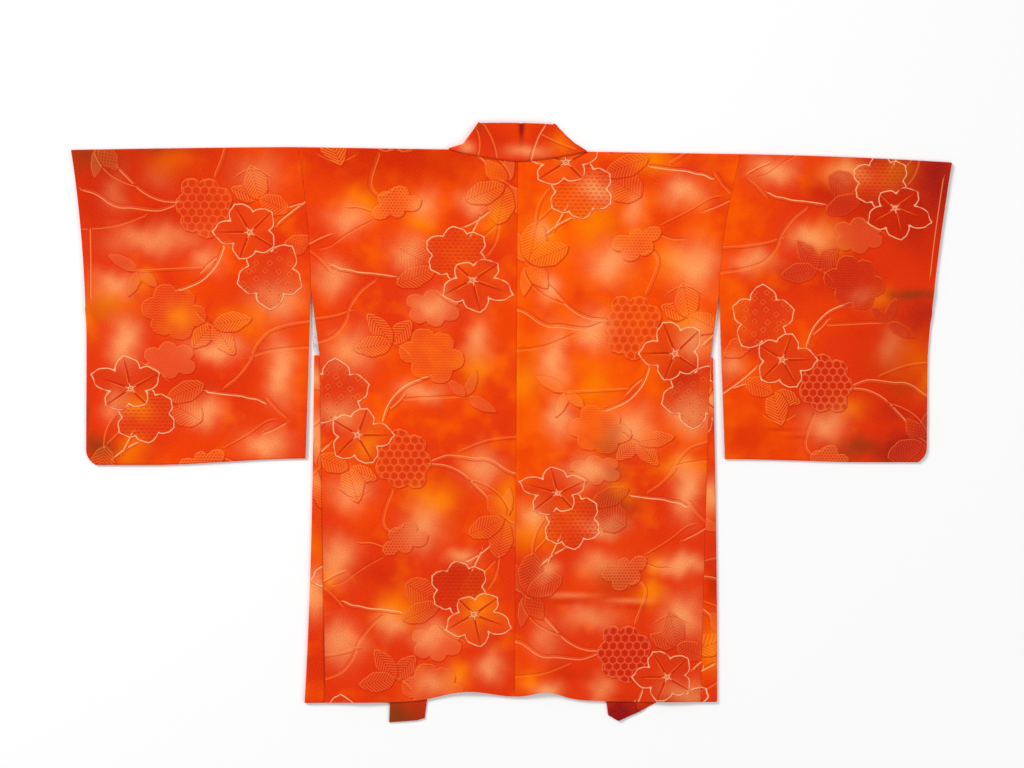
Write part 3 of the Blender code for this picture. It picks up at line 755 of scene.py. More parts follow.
# how much redder each motif is dyed on a piece, on its upper and its lower repeat,
# or below 0 how much more golden
tints = {
    "bodyLeft": {
        "comb": (0.20, 0.2), "chequer": (0.20, 0.2), "star": (0.12, 0.1), "scales": (0.18, 0.42),
        "lily": (0.14, -0.1), "waves": (-0.10, 0.10), "low": (-0.15, 0), "fan": (-0.20, 0.05),
        "sprig": (0.15, 0.1), "pair": (0.05, 0.15), "fern": (0, 0.22), "dots": (0.05, 0.25),
    },
    "bodyRight": {
        "comb": (0.12, 0.60), "star": (0.28, 0.25), "chequer": (0.30, 0.3), "scales": (0.08, 0.12),
        "lily": (0.1, 0.30), "fan": (-0.30, 0.25), "sprig": (-0.20, 0.1), "low": (0.0, 0.35),
        "pair": (0.08, 0.30), "waves": (0, 0.15), "dots": (0.05, 0.25), "fern": (0, 0.15),
    },
    "sleeveLeft": {
        "star": (0.12, 0.12), "chequer": (0.22, 0.2), "lily": (0.25, 0.25), "waves": (0.08, 0.1),
        "scales": (0.15, 0.15), "sprig": (0.1, 0.1), "fern": (-0.10, -0.1), "comb": (0.02, 0.02),
    },
    "sleeveRight": {
        "waves": (0.60, 0.6), "fern": (0.50, 0.5), "lily": (0.75, 0.7), "scales": (0.15, 0.15),
        "comb": (0.42, 0.4), "pair": (0.60, 0.6), "sprig": (0.65, 0.6), "star": (0.25, 0.3),
        "chequer": (0.15, 0.2), "fan": (0.50, 0.5), "dots": (0.20, 0.2), "shade": (0.18, 0.2),
    },
}

# strength of its pale edge, half width, its line
vines = (
    (0.5, 0.27, ((-18, 1), (-18.5, 3), (-19.5, 4), (-19.5, 5.5), (-19, 7), (-17.5, 7.5), (-16.5, 6))),
    (0.9, 0.22, ((-25, 17), (-24, 17.5), (-23, 18), (-21.5, 17.5), (-20, 18.5), (-17, 18.5))),
    (0.6, 0.25, ((-19.5, 19), (-21, 20), (-22.5, 21.5), (-23, 23), (-24, 24.5), (-24, 26), (-26, 27.5),
        (-28, 28), (-32, 28.5))),
    (0.5, 0.22, ((-32, 25), (-27, 24.5), (-25, 24.5), (-23, 23.5))),
    (0.7, 0.26, ((-12, 45), (-10, 44), (-8.5, 44), (-7.5, 45), (-6, 44.5), (-4.5, 44.5), (-3, 45),
        (-2, 46), (-1, 47), (0.5, 47))),
    (0.7, 0.24, ((-12.5, 45.5), (-10.5, 45.5), (-8.5, 46), (-7, 47.5), (-6, 48.5), (-4.5, 50))),
    (0.4, 0.12, ((-7, 47.5), (-5, 48), (-3, 49), (-1.5, 50.5), (-1, 52))),
    (0.3, 0.20, ((-8, 43.5), (-6, 42.5), (-4, 42), (-2, 41.5), (0.5, 41.5))),
    (0.5, 0.22, ((-7, 35.5), (-10, 35.5), (-13, 36), (-16, 36))),
    (0.9, 0.24, ((-19, 39), (-18, 37.5), (-18, 35), (-16, 34.5), (-13, 33))),
    (0.7, 0.16, ((-18, 37.5), (-16.5, 36.5), (-16, 35.5))),
    (0.6, 0.20, ((-11, 20.5), (-10, 22), (-8, 22.5))),
    (0.9, 0.18, ((-4, 9), (-5.5, 10.5), (-7, 11))),
    (0.9, 0.18, ((-5, 9.5), (-6, 11.5), (-6.5, 12.5))),
    (0.5, 0.16, ((-3, 11), (-4.5, 12.5))),
    (0.5, 0.20, ((-2.5, 10.5), (-2.5, 12), (-3, 14), (-4, 15))),
    (0.4, 0.20, ((-2, 4.5), (-1, 5.5), (0.5, 6))),
    (0.5, 0.20, ((-17.5, 28), (-16, 28.5), (-15.5, 29.5))),
    (0.2, 0.24, ((-28, 15), (-27, 15.5), (-25.5, 17.5))),
    (0.9, 0.22, ((-27, 42.5), (-28.5, 43.5), (-29.5, 45), (-31.5, 46))),
    (0.8, 0.16, ((-30, 45.5), (-28.5, 45))),
    (0.6, 0.14, ((-22.5, 8.5), (-21, 8), (-19.5, 9))),
    (0.7, 0.14, ((-28, 14), (-26.5, 13), (-25, 12.5))),
    (0.1, 0.14, ((-19.5, 10.5), (-21, 11.5), (-23.5, 12.5), (-24.5, 13.5), (-25, 14.5), (-26.5, 14.5))),
    (0.2, 0.12, ((-21, 1), (-22.5, 2.5), (-24, 2), (-25.5, 1))),
)
# the pressed line of the hem at each cuff
cuffLines = {
    "sleeveLeft": ((0.7, 0.07, ((-0.3, 41.3), (-0.5, 34.5), (-0.4, 31.8))),),
    "sleeveRight": ((0.7, 0.07, ((1.1, 14.5), (0.1, 21.2), (-0.4, 25.2), (-0.7, 28.5))),),
}
# on the collar its own vines, in x and drop
collarVines = (
    (0.6, 0.16, ((-5.9, -2.5), (-5.5, -1.3), (-5.6, 0.0), (-5.9, 0.9))),
    (0.6, 0.16, ((-4.9, -3.4), (-3.9, -1.9), (-3.4, -0.5), (-3.1, 1.2))),
    (0.8, 0.20, ((3.8, -3.65), (2.8, -2.3), (2.4, -1.0), (1.8, 1.4))),
    (0.5, 0.16, ((3.2, -2.3), (4.8, -1.5), (6.8, -0.75), (8.4, -0.2))),
)
fillKinds = (
    "none", "veins", "squares", "ripples", "hexagons", "pindots",
    "zigzags", "plain", "ribs", "nets", "chevrons",
)


def curveThrough(points, perSpan):
    # a smooth line that follows the points
    points = np.array(points, dtype=float)
    points[1:-1] = (points[:-2] + points[1:-1] + points[2:]) / 3
    ends = np.vstack([2 * points[0] - points[1], points, 2 * points[-1] - points[-2]])
    share = np.linspace(0, 1, perSpan, endpoint=False)[:, None]
    line = []
    for a, b, c, d in zip(ends, ends[1:], ends[2:], ends[3:]):
        square, cube = 2 * a - 5 * b + 4 * c - d, 3 * b - a - 3 * c + d
        line.append(0.5 * (2 * b + (c - a) * share + square * share**2 + cube * share**3))
    return np.vstack(line + [points[-1:]])


def petalTips(count, halves, lean, first, shift):
    # the petals' tips, evenly round a stretched ring and then a little uneven
    angle = np.radians(first - lean + 360 / count * np.arange(count))
    uneven = 1 + tile["uneven"] * np.sin(2.6 * np.arange(count) + first)
    along, across = halves[0] * np.cos(angle) * uneven, halves[1] * np.sin(angle) * uneven
    cos, sin = math.cos(math.radians(lean)), math.sin(math.radians(lean))
    return np.column_stack([along * cos - across * sin, along * sin + across * cos]) + shift


def petals(tips, notch, point):
    # one outline round all the petals: each is a broad lobe between two notches, with a small point
    count = len(tips)
    lows = []
    for tip, after in zip(tips, np.roll(tips, -1, 0)):
        way = tip / np.hypot(*tip) + after / np.hypot(*after)
        lows.append(way / max(0.3, np.hypot(*way)) * notch * min(np.hypot(*tip), np.hypot(*after)))
    share = np.linspace(0, 1, tile["petalPoints"])
    (full, blunt), width = tile["lobe"], tile["pointWidth"]
    line = []
    for index in range(count):
        tip = tips[index]
        tipAngle = math.atan2(tip[1], tip[0])
        for low, order in ((lows[index - 1], -1), (lows[index], 1)):
            spanAngle = (math.atan2(low[1], low[0]) - tipAngle + math.pi) % (2 * math.pi) - math.pi
            lobe = (1 - point) * (1 - share**full) ** blunt + point * np.exp(-share / width) * (1 - share)
            radius = np.hypot(*low) + (np.hypot(*tip) - np.hypot(*low)) * lobe
            wobble = np.sin(9 * share + 2.1 * index + order) * np.sin(math.pi * share)
            radius = radius * (1 + tile["wobble"] * wobble)
            angle = tipAngle + spanAngle * share
            half = np.column_stack([radius * np.cos(angle), radius * np.sin(angle)])
            line.append(half[:0:-1] if order < 0 else half[:-1])
    return np.vstack(line)


def leafLine(root, tip, half, plump):
    root, tip = np.array(root), np.array(tip)
    axis = tip - root
    off = np.array((-axis[1], axis[0])) / np.hypot(*axis) * half
    share = np.linspace(0, 1, tile["leafPoints"])[:, None]
    bulge = np.sin(math.pi * share ** (0.85 * plump)) ** (0.8 / plump)
    bulge = bulge * (1 + tile["uneven"] * np.sin(17 * share + 3 * half))
    return np.vstack([root + axis * share + off * bulge, (root + axis * share - off * bulge)[-2:0:-1]])


def toLine(points, line, closed):
    # distance from points to a line, the way out from it, and the side that each point is on
    starts = line if closed else line[:-1]
    ends = np.roll(line, -1, 0) if closed else line[1:]
    spans = ends - starts
    best = np.full(len(points), 1e9)
    away = np.zeros((len(points), 2))
    lateral = np.zeros(len(points))
    inside = np.zeros(len(points), dtype=bool)
    for start, end, span in zip(starts, ends, spans):
        way = points - start
        share = np.clip((way @ span) / max(1e-9, span @ span), 0, 1)
        gap = way - share[:, None] * span
        size = np.hypot(gap[:, 0], gap[:, 1])
        nearer = size < best
        best = np.where(nearer, size, best)
        away[nearer] = gap[nearer]
        lateral = np.where(nearer, span[0] * way[:, 1] - span[1] * way[:, 0], lateral)
        if closed and start[1] != end[1]:
            crosses = (start[1] > points[:, 1]) != (end[1] > points[:, 1])
            crossX = start[0] + (points[:, 1] - start[1]) / (end[1] - start[1]) * span[0]
            inside ^= crosses & (points[:, 0] < crossX)
    return best, away, lateral, inside


def drawMotifs():
    # every motif as its outline about its own place, the way that its fill lies, and its veins
    motifs = []
    for name, kind, strength, place, count, halves, lean, first, shift, notch in flowers:
        point = tile["pointed"] if strength > 0.9 else tile["rounded"]
        tips = petalTips(count, halves, lean, first, shift)
        motifs.append((name, kind, strength, np.array(place), petals(tips, notch, point), 0.0, tips))
    for name, kind, strength, root, tip, half in leaves:
        place = (np.array(root) + np.array(tip)) / 2
        axis = np.array(tip) - np.array(root)
        line = leafLine(root, tip, half, tile["plump"] if kind == "ribs" else 1.0) - place
        motifs.append((name, kind, strength, place, line, math.atan2(axis[1], axis[0]), None))
    return motifs


def around(points, centres, place, outline):
    # the faces near a line about a place of the repeat, and where their corners are from that place
    near = centres - place
    near[:, 1] = (near[:, 1] + tile["repeat"] / 2) % tile["repeat"] - tile["repeat"] / 2
    close = np.flatnonzero((np.abs(near) < outline + tile["spare"]).all(1))
    return close, points[close] - centres[close][:, None] + near[close][:, None]


def writeValues(mesh, name, domain, values):
    mesh.attributes.new(name, "FLOAT_VECTOR", domain).data.foreach_set("vector", values.ravel())


def printCloth(piece, upright, ownVines, ownTints):
    # writes where each corner of the cloth lies on its motifs and vines
    mesh = piece.data
    uv = np.zeros(len(mesh.loops) * 2)
    mesh.uv_layers["cloth"].data.foreach_get("uv", uv)
    points = uv.reshape(-1, 4, 2) * 100
    centres = points.mean(1)
    faces = len(centres)
    groups = ("place", "style", "detail")
    placed = {group + depth: np.zeros((faces, 4, 3)) for group in groups for depth in "AB"}
    # the front hems are plain, and the collar has no motifs at the neck
    first, last = tile["plain"]
    hems = (centres[:, 1] < first) | (centres[:, 1] > last)
    bare = hems
    if ownVines is collarVines:
        hems = np.abs(centres[:, 1]) > -first
        bare = hems | (np.abs(centres) < tile["neckPlain"]).all(1)
    taken = {}
    for depth in "AB":
        placed["place" + depth][:, :, 2] = -tile["far"]
        taken[depth] = bare.copy()
    lower = centres[:, 1] > tile["repeat"] if upright else centres[:, 1] < tile["turnedRepeat"]
    # the way toward the key light on the cloth, for the painted light and shade along motif edges
    sunny = np.array((-0.6, -0.8)) if upright else np.array((0.6, 0.8))
    for name, kind, strength, place, outline, turn, tips in drawMotifs():
        close, way = around(points, centres, place, np.abs(outline).max(0) + tile["margin"])
        if not len(close):
            continue
        flat = way.reshape(-1, 2)
        distance, away, lateral, inside = toLine(flat, outline, True)
        facing = (away @ sunny) / np.maximum(distance, 1e-6) * np.where(inside, -1, 1)
        cos, sin = math.cos(turn), math.sin(turn)
        signed = np.where(inside, distance, -distance)
        own = np.column_stack([flat @ (cos, sin), flat @ (-sin, cos), signed]).reshape(-1, 4, 3)
        style = np.zeros((len(close), 4, 3))
        style[:, :, 0] = fillKinds.index(kind)
        style[:, :, 1] = strength
        # how the motif's edge faces the key light, for its painted light and shade
        style[:, :, 2] = facing.reshape(-1, 4)
        detail = np.full((len(close), 4, 3), tile["far"])
        high, low = ownTints.get(name, (0.0, 0.0))
        detail[:, :, 1] = np.where(lower[close], low, high)[:, None]
        for tip in () if tips is None else tips:
            size, away, lateral, inside = toLine(flat, np.array(((0, 0), tip * tile["veinLength"])), False)
            vein = (size * np.sign(lateral)).reshape(-1, 4)
            nearer = np.abs(vein).min(1) < np.abs(detail[:, :, 0]).min(1)
            detail[nearer, :, 0] = vein[nearer]
        shown = own[:, :, 2].max(1) > -tile["margin"]
        for depth in "AB":
            put = shown & ~taken[depth][close]
            rows = close[put]
            for group, values in zip(groups, (own, style, detail)):
                placed[group + depth][rows] = values[put]
            taken[depth][rows] = True
            shown = shown & ~put
    vine = np.zeros((faces, 4, 3))
    vine[:, :, 0] = tile["far"]
    nearest = np.full(faces, tile["far"])
    for strength, half, line in ownVines:
        line = curveThrough(line, tile["vinePoints"])
        place = (line.min(0) + line.max(0)) / 2
        close, way = around(points, centres, place, (line.max(0) - line.min(0)) / 2 + tile["vineReach"])
        if not len(close):
            continue
        distance, away, lateral, inside = toLine(way.reshape(-1, 2), line - place, False)
        middle = distance.reshape(-1, 4).min(1)
        put = (middle < np.minimum(nearest[close], tile["vineReach"])) & ~hems[close]
        rows = close[put]
        nearest[rows] = middle[put]
        vine[rows, :, 0] = (np.sign(lateral) * distance).reshape(-1, 4)[put]
        vine[rows, :, 1:] = strength, half
    for name, values in (*placed.items(), ("vine", vine)):
        writeValues(mesh, name, "CORNER", values)


# The cloud dyeing, with painted light and shade among its spots: painted highlight and shade along creases,
# painted shade in the collar's tuck and on the hem tabs below the back hem. x, drop, half width, half
# length and strength of each spot, in centimetres
dyeAndPaintedLightSpots = {
    "bodyLeft": {
        "gold": (
            (-22.2, 7.5, 2.5, 2.5), (-14, 10.5, 2, 2), (-3, 10, 2, 2), (-6, 31.5, 2.5, 2.5),
            (-21.5, 42.5, 2, 2), (-12, 50.5, 3.5, 3), (-1, 51, 2, 4), (-5, 66, 2.5, 2.5), (-17, 66, 3, 3),
            (-26.5, 61.5, 1.5, 2), (-8, 76, 2, 2),
        ),
        "pale": (
            (-24.5, 10.3, 3, 2, 0.82), (-13.5, 7.8, 2, 2, 0.82), (-6.5, 7.5, 2, 2, 0.82),
            (-16, 15, 2.5, 2.5, 0.82), (-26.7, 18.8, 2.5, 2.5, 0.82), (-12, 22.5, 3, 2, 0.82),
            (-24, 29, 3, 3, 0.82), (-5.5, 27.5, 1.8, 3, 0.82), (-14, 35, 3, 1.5, 0.82),
            (-25.5, 38, 3, 2, 0.82), (-5, 46, 2.5, 2.5, 0.82), (-24, 49.5, 3, 2.5, 0.82),
            (-13.5, 54.5, 3, 3, 0.82), (-26, 59, 3, 3, 0.82), (-7.8, 58.7, 2.5, 1.2, 0.82),
            (-18, 68.5, 2, 2, 0.82), (-12, 70, 3, 2, 0.82), (-25, 71, 3, 3, 0.82), (-3.5, 74.5, 2, 2, 0.82),
            (-12, 77, 3, 2, 0.82),
        ),
        "deep": ((-17, 1.3, 15, 4.2, 1.0), (-20, 61, 3, 2.5, 0.6), (-8, 62, 3, 2, 0.8)),
        # the next two kinds are painted shade on the hem tab below the back hem
        "dusk": ((-17, 82.3, 4, 2.2, 1.1),),
        "crimson": ((-18.5, 82, 2, 2, 0.6),),
    },
    "bodyRight": {
        "gold": (
            (20, 1, 2.5, 2), (11.5, 10.5, 4, 3), (4, 12.5, 3, 3), (23, 16, 2.5, 2.5), (1, 33, 3, 3),
            (11.5, 34, 3, 3), (25, 24.5, 3, 1.5), (25, 45.5, 4, 1.4), (15.5, 49, 2, 2), (2.5, 55, 3, 3),
            (20.5, 60.5, 1.5, 2), (20, 64, 2, 2), (2, 77, 2, 2), (28.5, 73, 1.2, 2),
        ),
        "pale": (
            (11.5, 5.5, 2, 2), (17.3, 8.3, 1.6, 2.2, 0.7), (24.5, 5.5, 2.8, 2.3), (3.2, 11.5, 1.2, 1.4),
            (13.3, 16.2, 3.2, 2.6), (25.8, 16.5, 3.4, 3.5), (4.5, 20, 1.6, 2.2), (26, 27, 2.5, 2.5),
            (11, 26, 3, 2.5), (5.5, 30, 2, 4), (6.5, 38.5, 2, 3), (17, 40, 3, 3), (25.5, 38, 3, 3),
            (10.5, 46.5, 3, 2), (2.5, 53, 2, 2), (13, 54.5, 3, 1.5), (25, 49, 2, 4), (12.5, 60, 3, 2, 0.7),
            (24.5, 60, 4, 1.5), (4.5, 61, 2, 1.5), (11, 67.5, 4, 2, 0.6), (24.5, 67.5, 3, 3),
            (4.5, 70.5, 2, 3, 0.5), (12.5, 78, 2, 2, 0.6), (25, 79, 3.2, 2, 0.9), (5, 78, 2, 1.2),
            # these two pale streaks are painted highlight along two soft creases
            (7.5, 64.4, 4.5, 0.45, 0.5), (16.5, 65.2, 3.6, 0.4, 0.5),
        ),
        "deep": (
            # the spots at (7, 65.4) and (17, 66.2) are painted shade under those two creases
            (2, 61, 2.5, 2), (2.5, 65, 2.5, 2.5), (24, 33, 3, 2.5), (7, 65.4, 5, 0.45, 0.6),
            (17, 66.2, 4, 0.4, 0.5), (22, 72, 4, 1.5, 0.5), (8, 76, 4, 1.2, 0.5),
        ),
        "dusk": (
            (14, 42, 2.5, 2.5, 0.5), (14, 46.5, 2, 2, 0.45), (14.5, 51, 3.2, 2.2, 0.65),
            (14.5, 54.5, 2.4, 1.4, 0.35), (14.5, 62.5, 3, 2.4, 0.6),
        ),
        # painted shade on the hem tab below the back hem
        "crimson": ((19, 83.5, 6, 3.2, 1.6),),
    },
    "sleeveLeft": {
        "gold": (
            (-50, 2.2, 4, 2.4, 0.7), (-58, 22.5, 4, 2.5, 0.8), (-53, 19.5, 2, 2, 0.7),
            (-48, 24.5, 2.5, 2.5), (-39, 25, 3, 3, 0.6), (-54, 37, 2.2, 2.2), (-55, 43.5, 3, 2.5, 0.7),
            (-61, 24, 1.5, 4, 0.7),
        ),
        "pale": (
            (-57.3, 6.5, 1.8, 3.2, 0.7), (-37.5, 3.7, 3.5, 2.5, 0.65), (-51.5, 4.5, 2.2, 2, 0.35),
            (-52, 13.3, 6, 2.2, 0.75), (-44.5, 16, 2.2, 2, 0.7), (-57.5, 20, 3, 2, 0.85),
            (-55.9, 28, 2.4, 3.2), (-34.5, 22, 3, 3, 0.8), (-43, 29, 4, 1.7), (-34, 32, 2, 4.5),
            (-45, 38, 3, 2), (-57, 37, 2, 2, 0.7), (-36, 42.5, 3.5, 2),
        ),
        "deep": (
            (-57, 3, 15, 9, 0.85), (-42, 2, 10, 5, 0.6), (-52.5, 10, 9, 2.2, 0.75), (-45, 8, 5, 2, 0.5),
            (-46, 34, 5, 2, 0.4),
        ),
        "dusk": (
            (-61, 1.5, 5, 3, 0.8), (-53, 0.2, 9, 1.3, 0.55), (-59, 23, 3, 1.8, 0.3),
            (-59.8, 43.3, 2.6, 2.2, 0.95), (-61.4, 39, 0.6, 4, 0.7),
        ),
        "crimson": ((-60, 10, 3, 5, 0.18),),
    },
    "sleeveRight": {
        "gold": (
            (45, 11.5, 3, 2.5, 0.6), (46.5, 14, 3, 1.3, 0.8), (54, 21, 2, 2, 0.8), (58, 30, 4.5, 4, 0.75),
            (49, 37, 3, 2, 0.7), (48, 3, 4, 3, 0.5), (61, 33, 2, 3, 0.8), (56, 2.5, 3, 2.5, 0.8),
        ),
        "pale": (
            (37.5, 2.5, 3, 2), (48.5, 2.5, 3, 2, 0.8), (43.5, 12, 3.2, 2), (35, 15.5, 3.4, 1.6, 0.8),
            (50.5, 20.5, 2, 1.2), (55.5, 28, 2, 2.5, 0.8), (45.5, 39.5, 3.2, 2.5, 0.9),
            (31.5, 31, 2, 2, 0.7),
        ),
        "deep": (
            # the first two thin streaks are painted shade along creases near the lower edge
            (38.5, 40.2, 3.5, 0.35, 0.8), (41.5, 41.4, 3, 0.3, 0.6), (45, 6, 3.5, 2, 0.9),
            (50, 7.5, 4, 2.5, 0.8), (48.5, 17.5, 5.5, 4, 0.9), (40, 17, 3, 2.5, 0.5), (60, 10, 5, 8, 0.7),
            (43, 35, 7, 4, 0.5), (34, 41, 6, 3, 0.4), (56, 31, 6.5, 10, 0.8),
        ),
        "dusk": (
            # the first spot is painted shade in a crease across the sleeve
            (58.5, 20.3, 5, 0.8, 0.9), (50.5, 43, 4, 1.6, 0.85), (57, 34, 3, 1, 0.3),
            (56.5, 2.5, 3.5, 3, 0.45),
        ),
        "crimson": (
            (62.5, 2, 4.5, 9, 0.95), (56, 0.2, 7, 1.6, 0.6), (58.5, 8, 4.5, 5, 0.6),
            (54, 7.2, 3.5, 1.8, 0.55), (47.5, 6.5, 3, 2.2, 0.35), (60, 23.5, 4, 2.6, 0.6),
            (57, 43.2, 4.5, 2.8), (60, 41, 2, 4, 0.9), (56.5, 38, 3, 2, 0.4),
        ),
    },
    "neckBand": {
        "gold": ((6.5, -0.8, 2, 2, 0.5),),
        "pale": ((1.2, 0.1, 3.2, 0.9, 0.8), (-7.4, -0.2, 1.2, 1, 0.8)),
        # the last spot is painted shade in the tuck at the collar's centre
        "deep": ((-3.5, -2, 3.5, 2.5, 0.4), (4, -3, 3, 1.2, 0.4), (0.5, -3.2, 0.55, 2.2, 1.25)),
        # the second spot is painted shade on the left hem tab below the back hem
        "dusk": ((-5.4, -3.4, 1.2, 1.2, 0.5), (-16.8, 82, 4.6, 4, 1.2)),
        # the first two spots are painted shade on the hem tabs below the back hem, the last is painted
        # shade deep in the tuck
        "crimson": ((15.4, 82, 5, 4, 1.2), (-13.5, 82, 1.6, 4, 0.4), (0.5, -3.6, 0.36, 2.0, 1.25)),
    },
    "gussetLeft": {
        "gold": ((-29, 57, 2, 3, 0.5),),
        "pale": ((-29, 33, 2, 2), (-29, 41, 2, 3), (-29, 48, 2, 1.5, 0.7), (-29, 64, 2, 3)),
        "deep": ((-29, 74, 2, 4, 0.3),),
    },
    "gussetRight": {
        "gold": ((29, 72, 2, 4),),
        "pale": ((29, 36, 2, 2), (29, 50, 2, 3)),
        "deep": ((29, 63, 2, 4),),
    },
}

# how red a piece is, at its inner side and at its outer side, and how much more so below the waist
tones = {
    "bodyLeft": (0.10, 0.34, 0.36),
    "bodyRight": (-0.37, 0.05, 0.82),
    "sleeveLeft": (0.20, 0.90, 0.0),
    "sleeveRight": (-0.05, 1.45, 0.0),
    "neckBand": (0.72, 0.40, 0.6),
    "gussetLeft": (0.0, 0.1, 0.1),
    "gussetRight": (0.0, 0.4, 0.3),
}
spotSettings = {
    "kinds": ("gold", "pale", "deep", "dusk", "crimson"),
    "softness": 1.25,
    "waver": (0.40, 0.14),  # how far spots stray from round, broadly and finely
    "thin": 1.5,  # thinner spots stray less
    "lowerLayers": (0.14, 78),  # cloth below this height and above this drop lies underneath
    "lowerShift": 9,
    "waist": (40, 18),  # where it gets redder, and over what length
}


def dyeAndPaintLight(piece, spots, tone):
    mesh = piece.data
    places = np.zeros(len(mesh.vertices) * 3)
    mesh.vertices.foreach_get("co", places)
    x, y, z = places.reshape(-1, 3).T * 100
    drop = shoulderY * 100 - y
    height, above = spotSettings["lowerLayers"]
    drop = np.where((z < height) & (drop < above), drop + spotSettings["lowerShift"], drop)
    broad, fine = spotSettings["waver"]
    strayX = broad * np.sin(0.8 * drop + 0.4 * x) + fine * np.sin(2.3 * drop - 1.3 * x + 1)
    strayDrop = broad * np.sin(0.9 * x - 0.5 * drop + 2) + fine * np.sin(2.6 * x + 1.1 * drop)
    dyeAndPaintedLight = []
    for kind in spotSettings["kinds"]:
        total = np.zeros(len(x))
        for spotX, spotDrop, halfX, halfDrop, *weight in spots.get(kind, ()):
            stray = min(1.0, min(halfX, halfDrop) / spotSettings["thin"]) ** 2
            away = ((x + stray * strayX - spotX) / halfX) ** 2
            away = away + ((drop + stray * strayDrop - spotDrop) / halfDrop) ** 2
            total = np.maximum(total, np.exp(-spotSettings["softness"] * away) * (weight[0] if weight else 1.0))
        dyeAndPaintedLight.append(total)
    writeValues(mesh, "dyeAndPaintedLight", "POINT", np.column_stack(dyeAndPaintedLight[:3]))
    out = np.abs(x)
    redness = mix(tone[0], tone[1], (out - out.min()) / (out.max() - out.min()))
    waist, reach = spotSettings["waist"]
    redness = redness + tone[2] * np.clip((drop - waist) / reach, 0, 1)
    writeValues(mesh, "stainAndPaintedShade", "POINT", np.column_stack([*dyeAndPaintedLight[3:], redness]))


class Wire:
    # a socket that takes part in sums, so that shader maths reads as it is
    def __init__(self, tree, socket):
        self.tree = tree
        self.socket = socket

    def sum(self, operation, *others, flipped=False, clamp=False):
        node = self.tree.nodes.new("ShaderNodeMath")
        node.operation = operation
        node.use_clamp = clamp
        values = (*others, self) if flipped else (self, *others)
        for place, value in enumerate(values):
            if isinstance(value, Wire):
                self.tree.links.new(value.socket, node.inputs[place])
            else:
                node.inputs[place].default_value = value
        return Wire(self.tree, node.outputs[0])

    __add__ = __radd__ = partialmethod(sum, "ADD")
    __mul__ = __rmul__ = partialmethod(sum, "MULTIPLY")
    __sub__ = partialmethod(sum, "SUBTRACT")
    __rsub__ = partialmethod(sum, "SUBTRACT", flipped=True)
    __truediv__ = partialmethod(sum, "DIVIDE")
    __gt__ = partialmethod(sum, "GREATER_THAN")
    __lt__ = partialmethod(sum, "LESS_THAN")
    abs = partialmethod(sum, "ABSOLUTE")
    fract = partialmethod(sum, "FRACT")
    floor = partialmethod(sum, "FLOOR")
    wave = partialmethod(sum, "SINE")
    most = partialmethod(sum, "MAXIMUM")
    over = partialmethod(sum, "FLOORED_MODULO")
    clamped = partialmethod(sum, "ADD", 0.0, clamp=True)

    def near(self, value, reach):
        # 1 at the value, falling to 0 within the reach
        return (1 - (self - value).abs() / reach).clamped()

    def under(self, value, soft):
        # 1 below the value, softly 0 above it
        return ((value - self) / soft + 0.5).clamped()


class Material:
    def __init__(self, name):
        self.data = bpy.data.materials.new(name)
        self.data.use_nodes = True
        self.tree = self.data.node_tree
        self.shader = self.tree.nodes["Principled BSDF"]

    def feed(self, node, sockets):
        for name, value in sockets.items():
            if isinstance(value, Wire):
                self.tree.links.new(value.socket, node.inputs[name])
            else:
                node.inputs[name].default_value = value

    def node(self, kind, output, settings, sockets):
        # a node with its settings made first, as the wire of one of its outputs
        node = self.tree.nodes.new(kind)
        for name, value in settings.items():
            setattr(node, name, value)
        self.feed(node, sockets)
        return Wire(self.tree, node.outputs[output])

    def clothPlace(self):
        # across and along the cloth, in centimetres
        uv = self.node("ShaderNodeUVMap", "UV", {"uv_map": "cloth"}, {})
        sockets = {"Vector": uv, "Scale": 100.0}
        return self.node("ShaderNodeVectorMath", "Vector", {"operation": "SCALE"}, sockets)

    def parts(self, vector):
        x = self.node("ShaderNodeSeparateXYZ", "X", {}, {"Vector": vector})
        return [Wire(self.tree, x.socket.node.outputs[axis]) for axis in "XYZ"]

    def written(self, name):
        return self.parts(self.node("ShaderNodeAttribute", "Vector", {"attribute_name": name}, {}))

    def blend(self, first, second, share):
        # the second colour over the first, as far as the share goes from 0 to 1
        first, second = (finish[name] if isinstance(name, str) else name for name in (first, second))
        settings = {"data_type": "RGBA", "clamp_factor": True}
        return self.node("ShaderNodeMix", 2, settings, {"Factor": share, 6: first, 7: second})

    def paint(self, colour, *layers):
        for name, share in layers:
            colour = self.blend(colour, name, share)
        return colour

    def noise(self, vector, scale, detail, roughness):
        sockets = {"Vector": vector, "Scale": scale, "Detail": detail, "Roughness": roughness}
        return self.node("ShaderNodeTexNoise", "Fac", {}, sockets)

    def cover(self, colour, roughness, specular, relief, strength, depth):
        sockets = {"Height": relief, "Strength": strength, "Distance": depth}
        normal = self.node("ShaderNodeBump", "Normal", {}, sockets)
        sockets = {"Base Color": colour, "Roughness": roughness, "Specular IOR Level": specular}
        self.feed(self.shader, {**sockets, "Normal": normal})


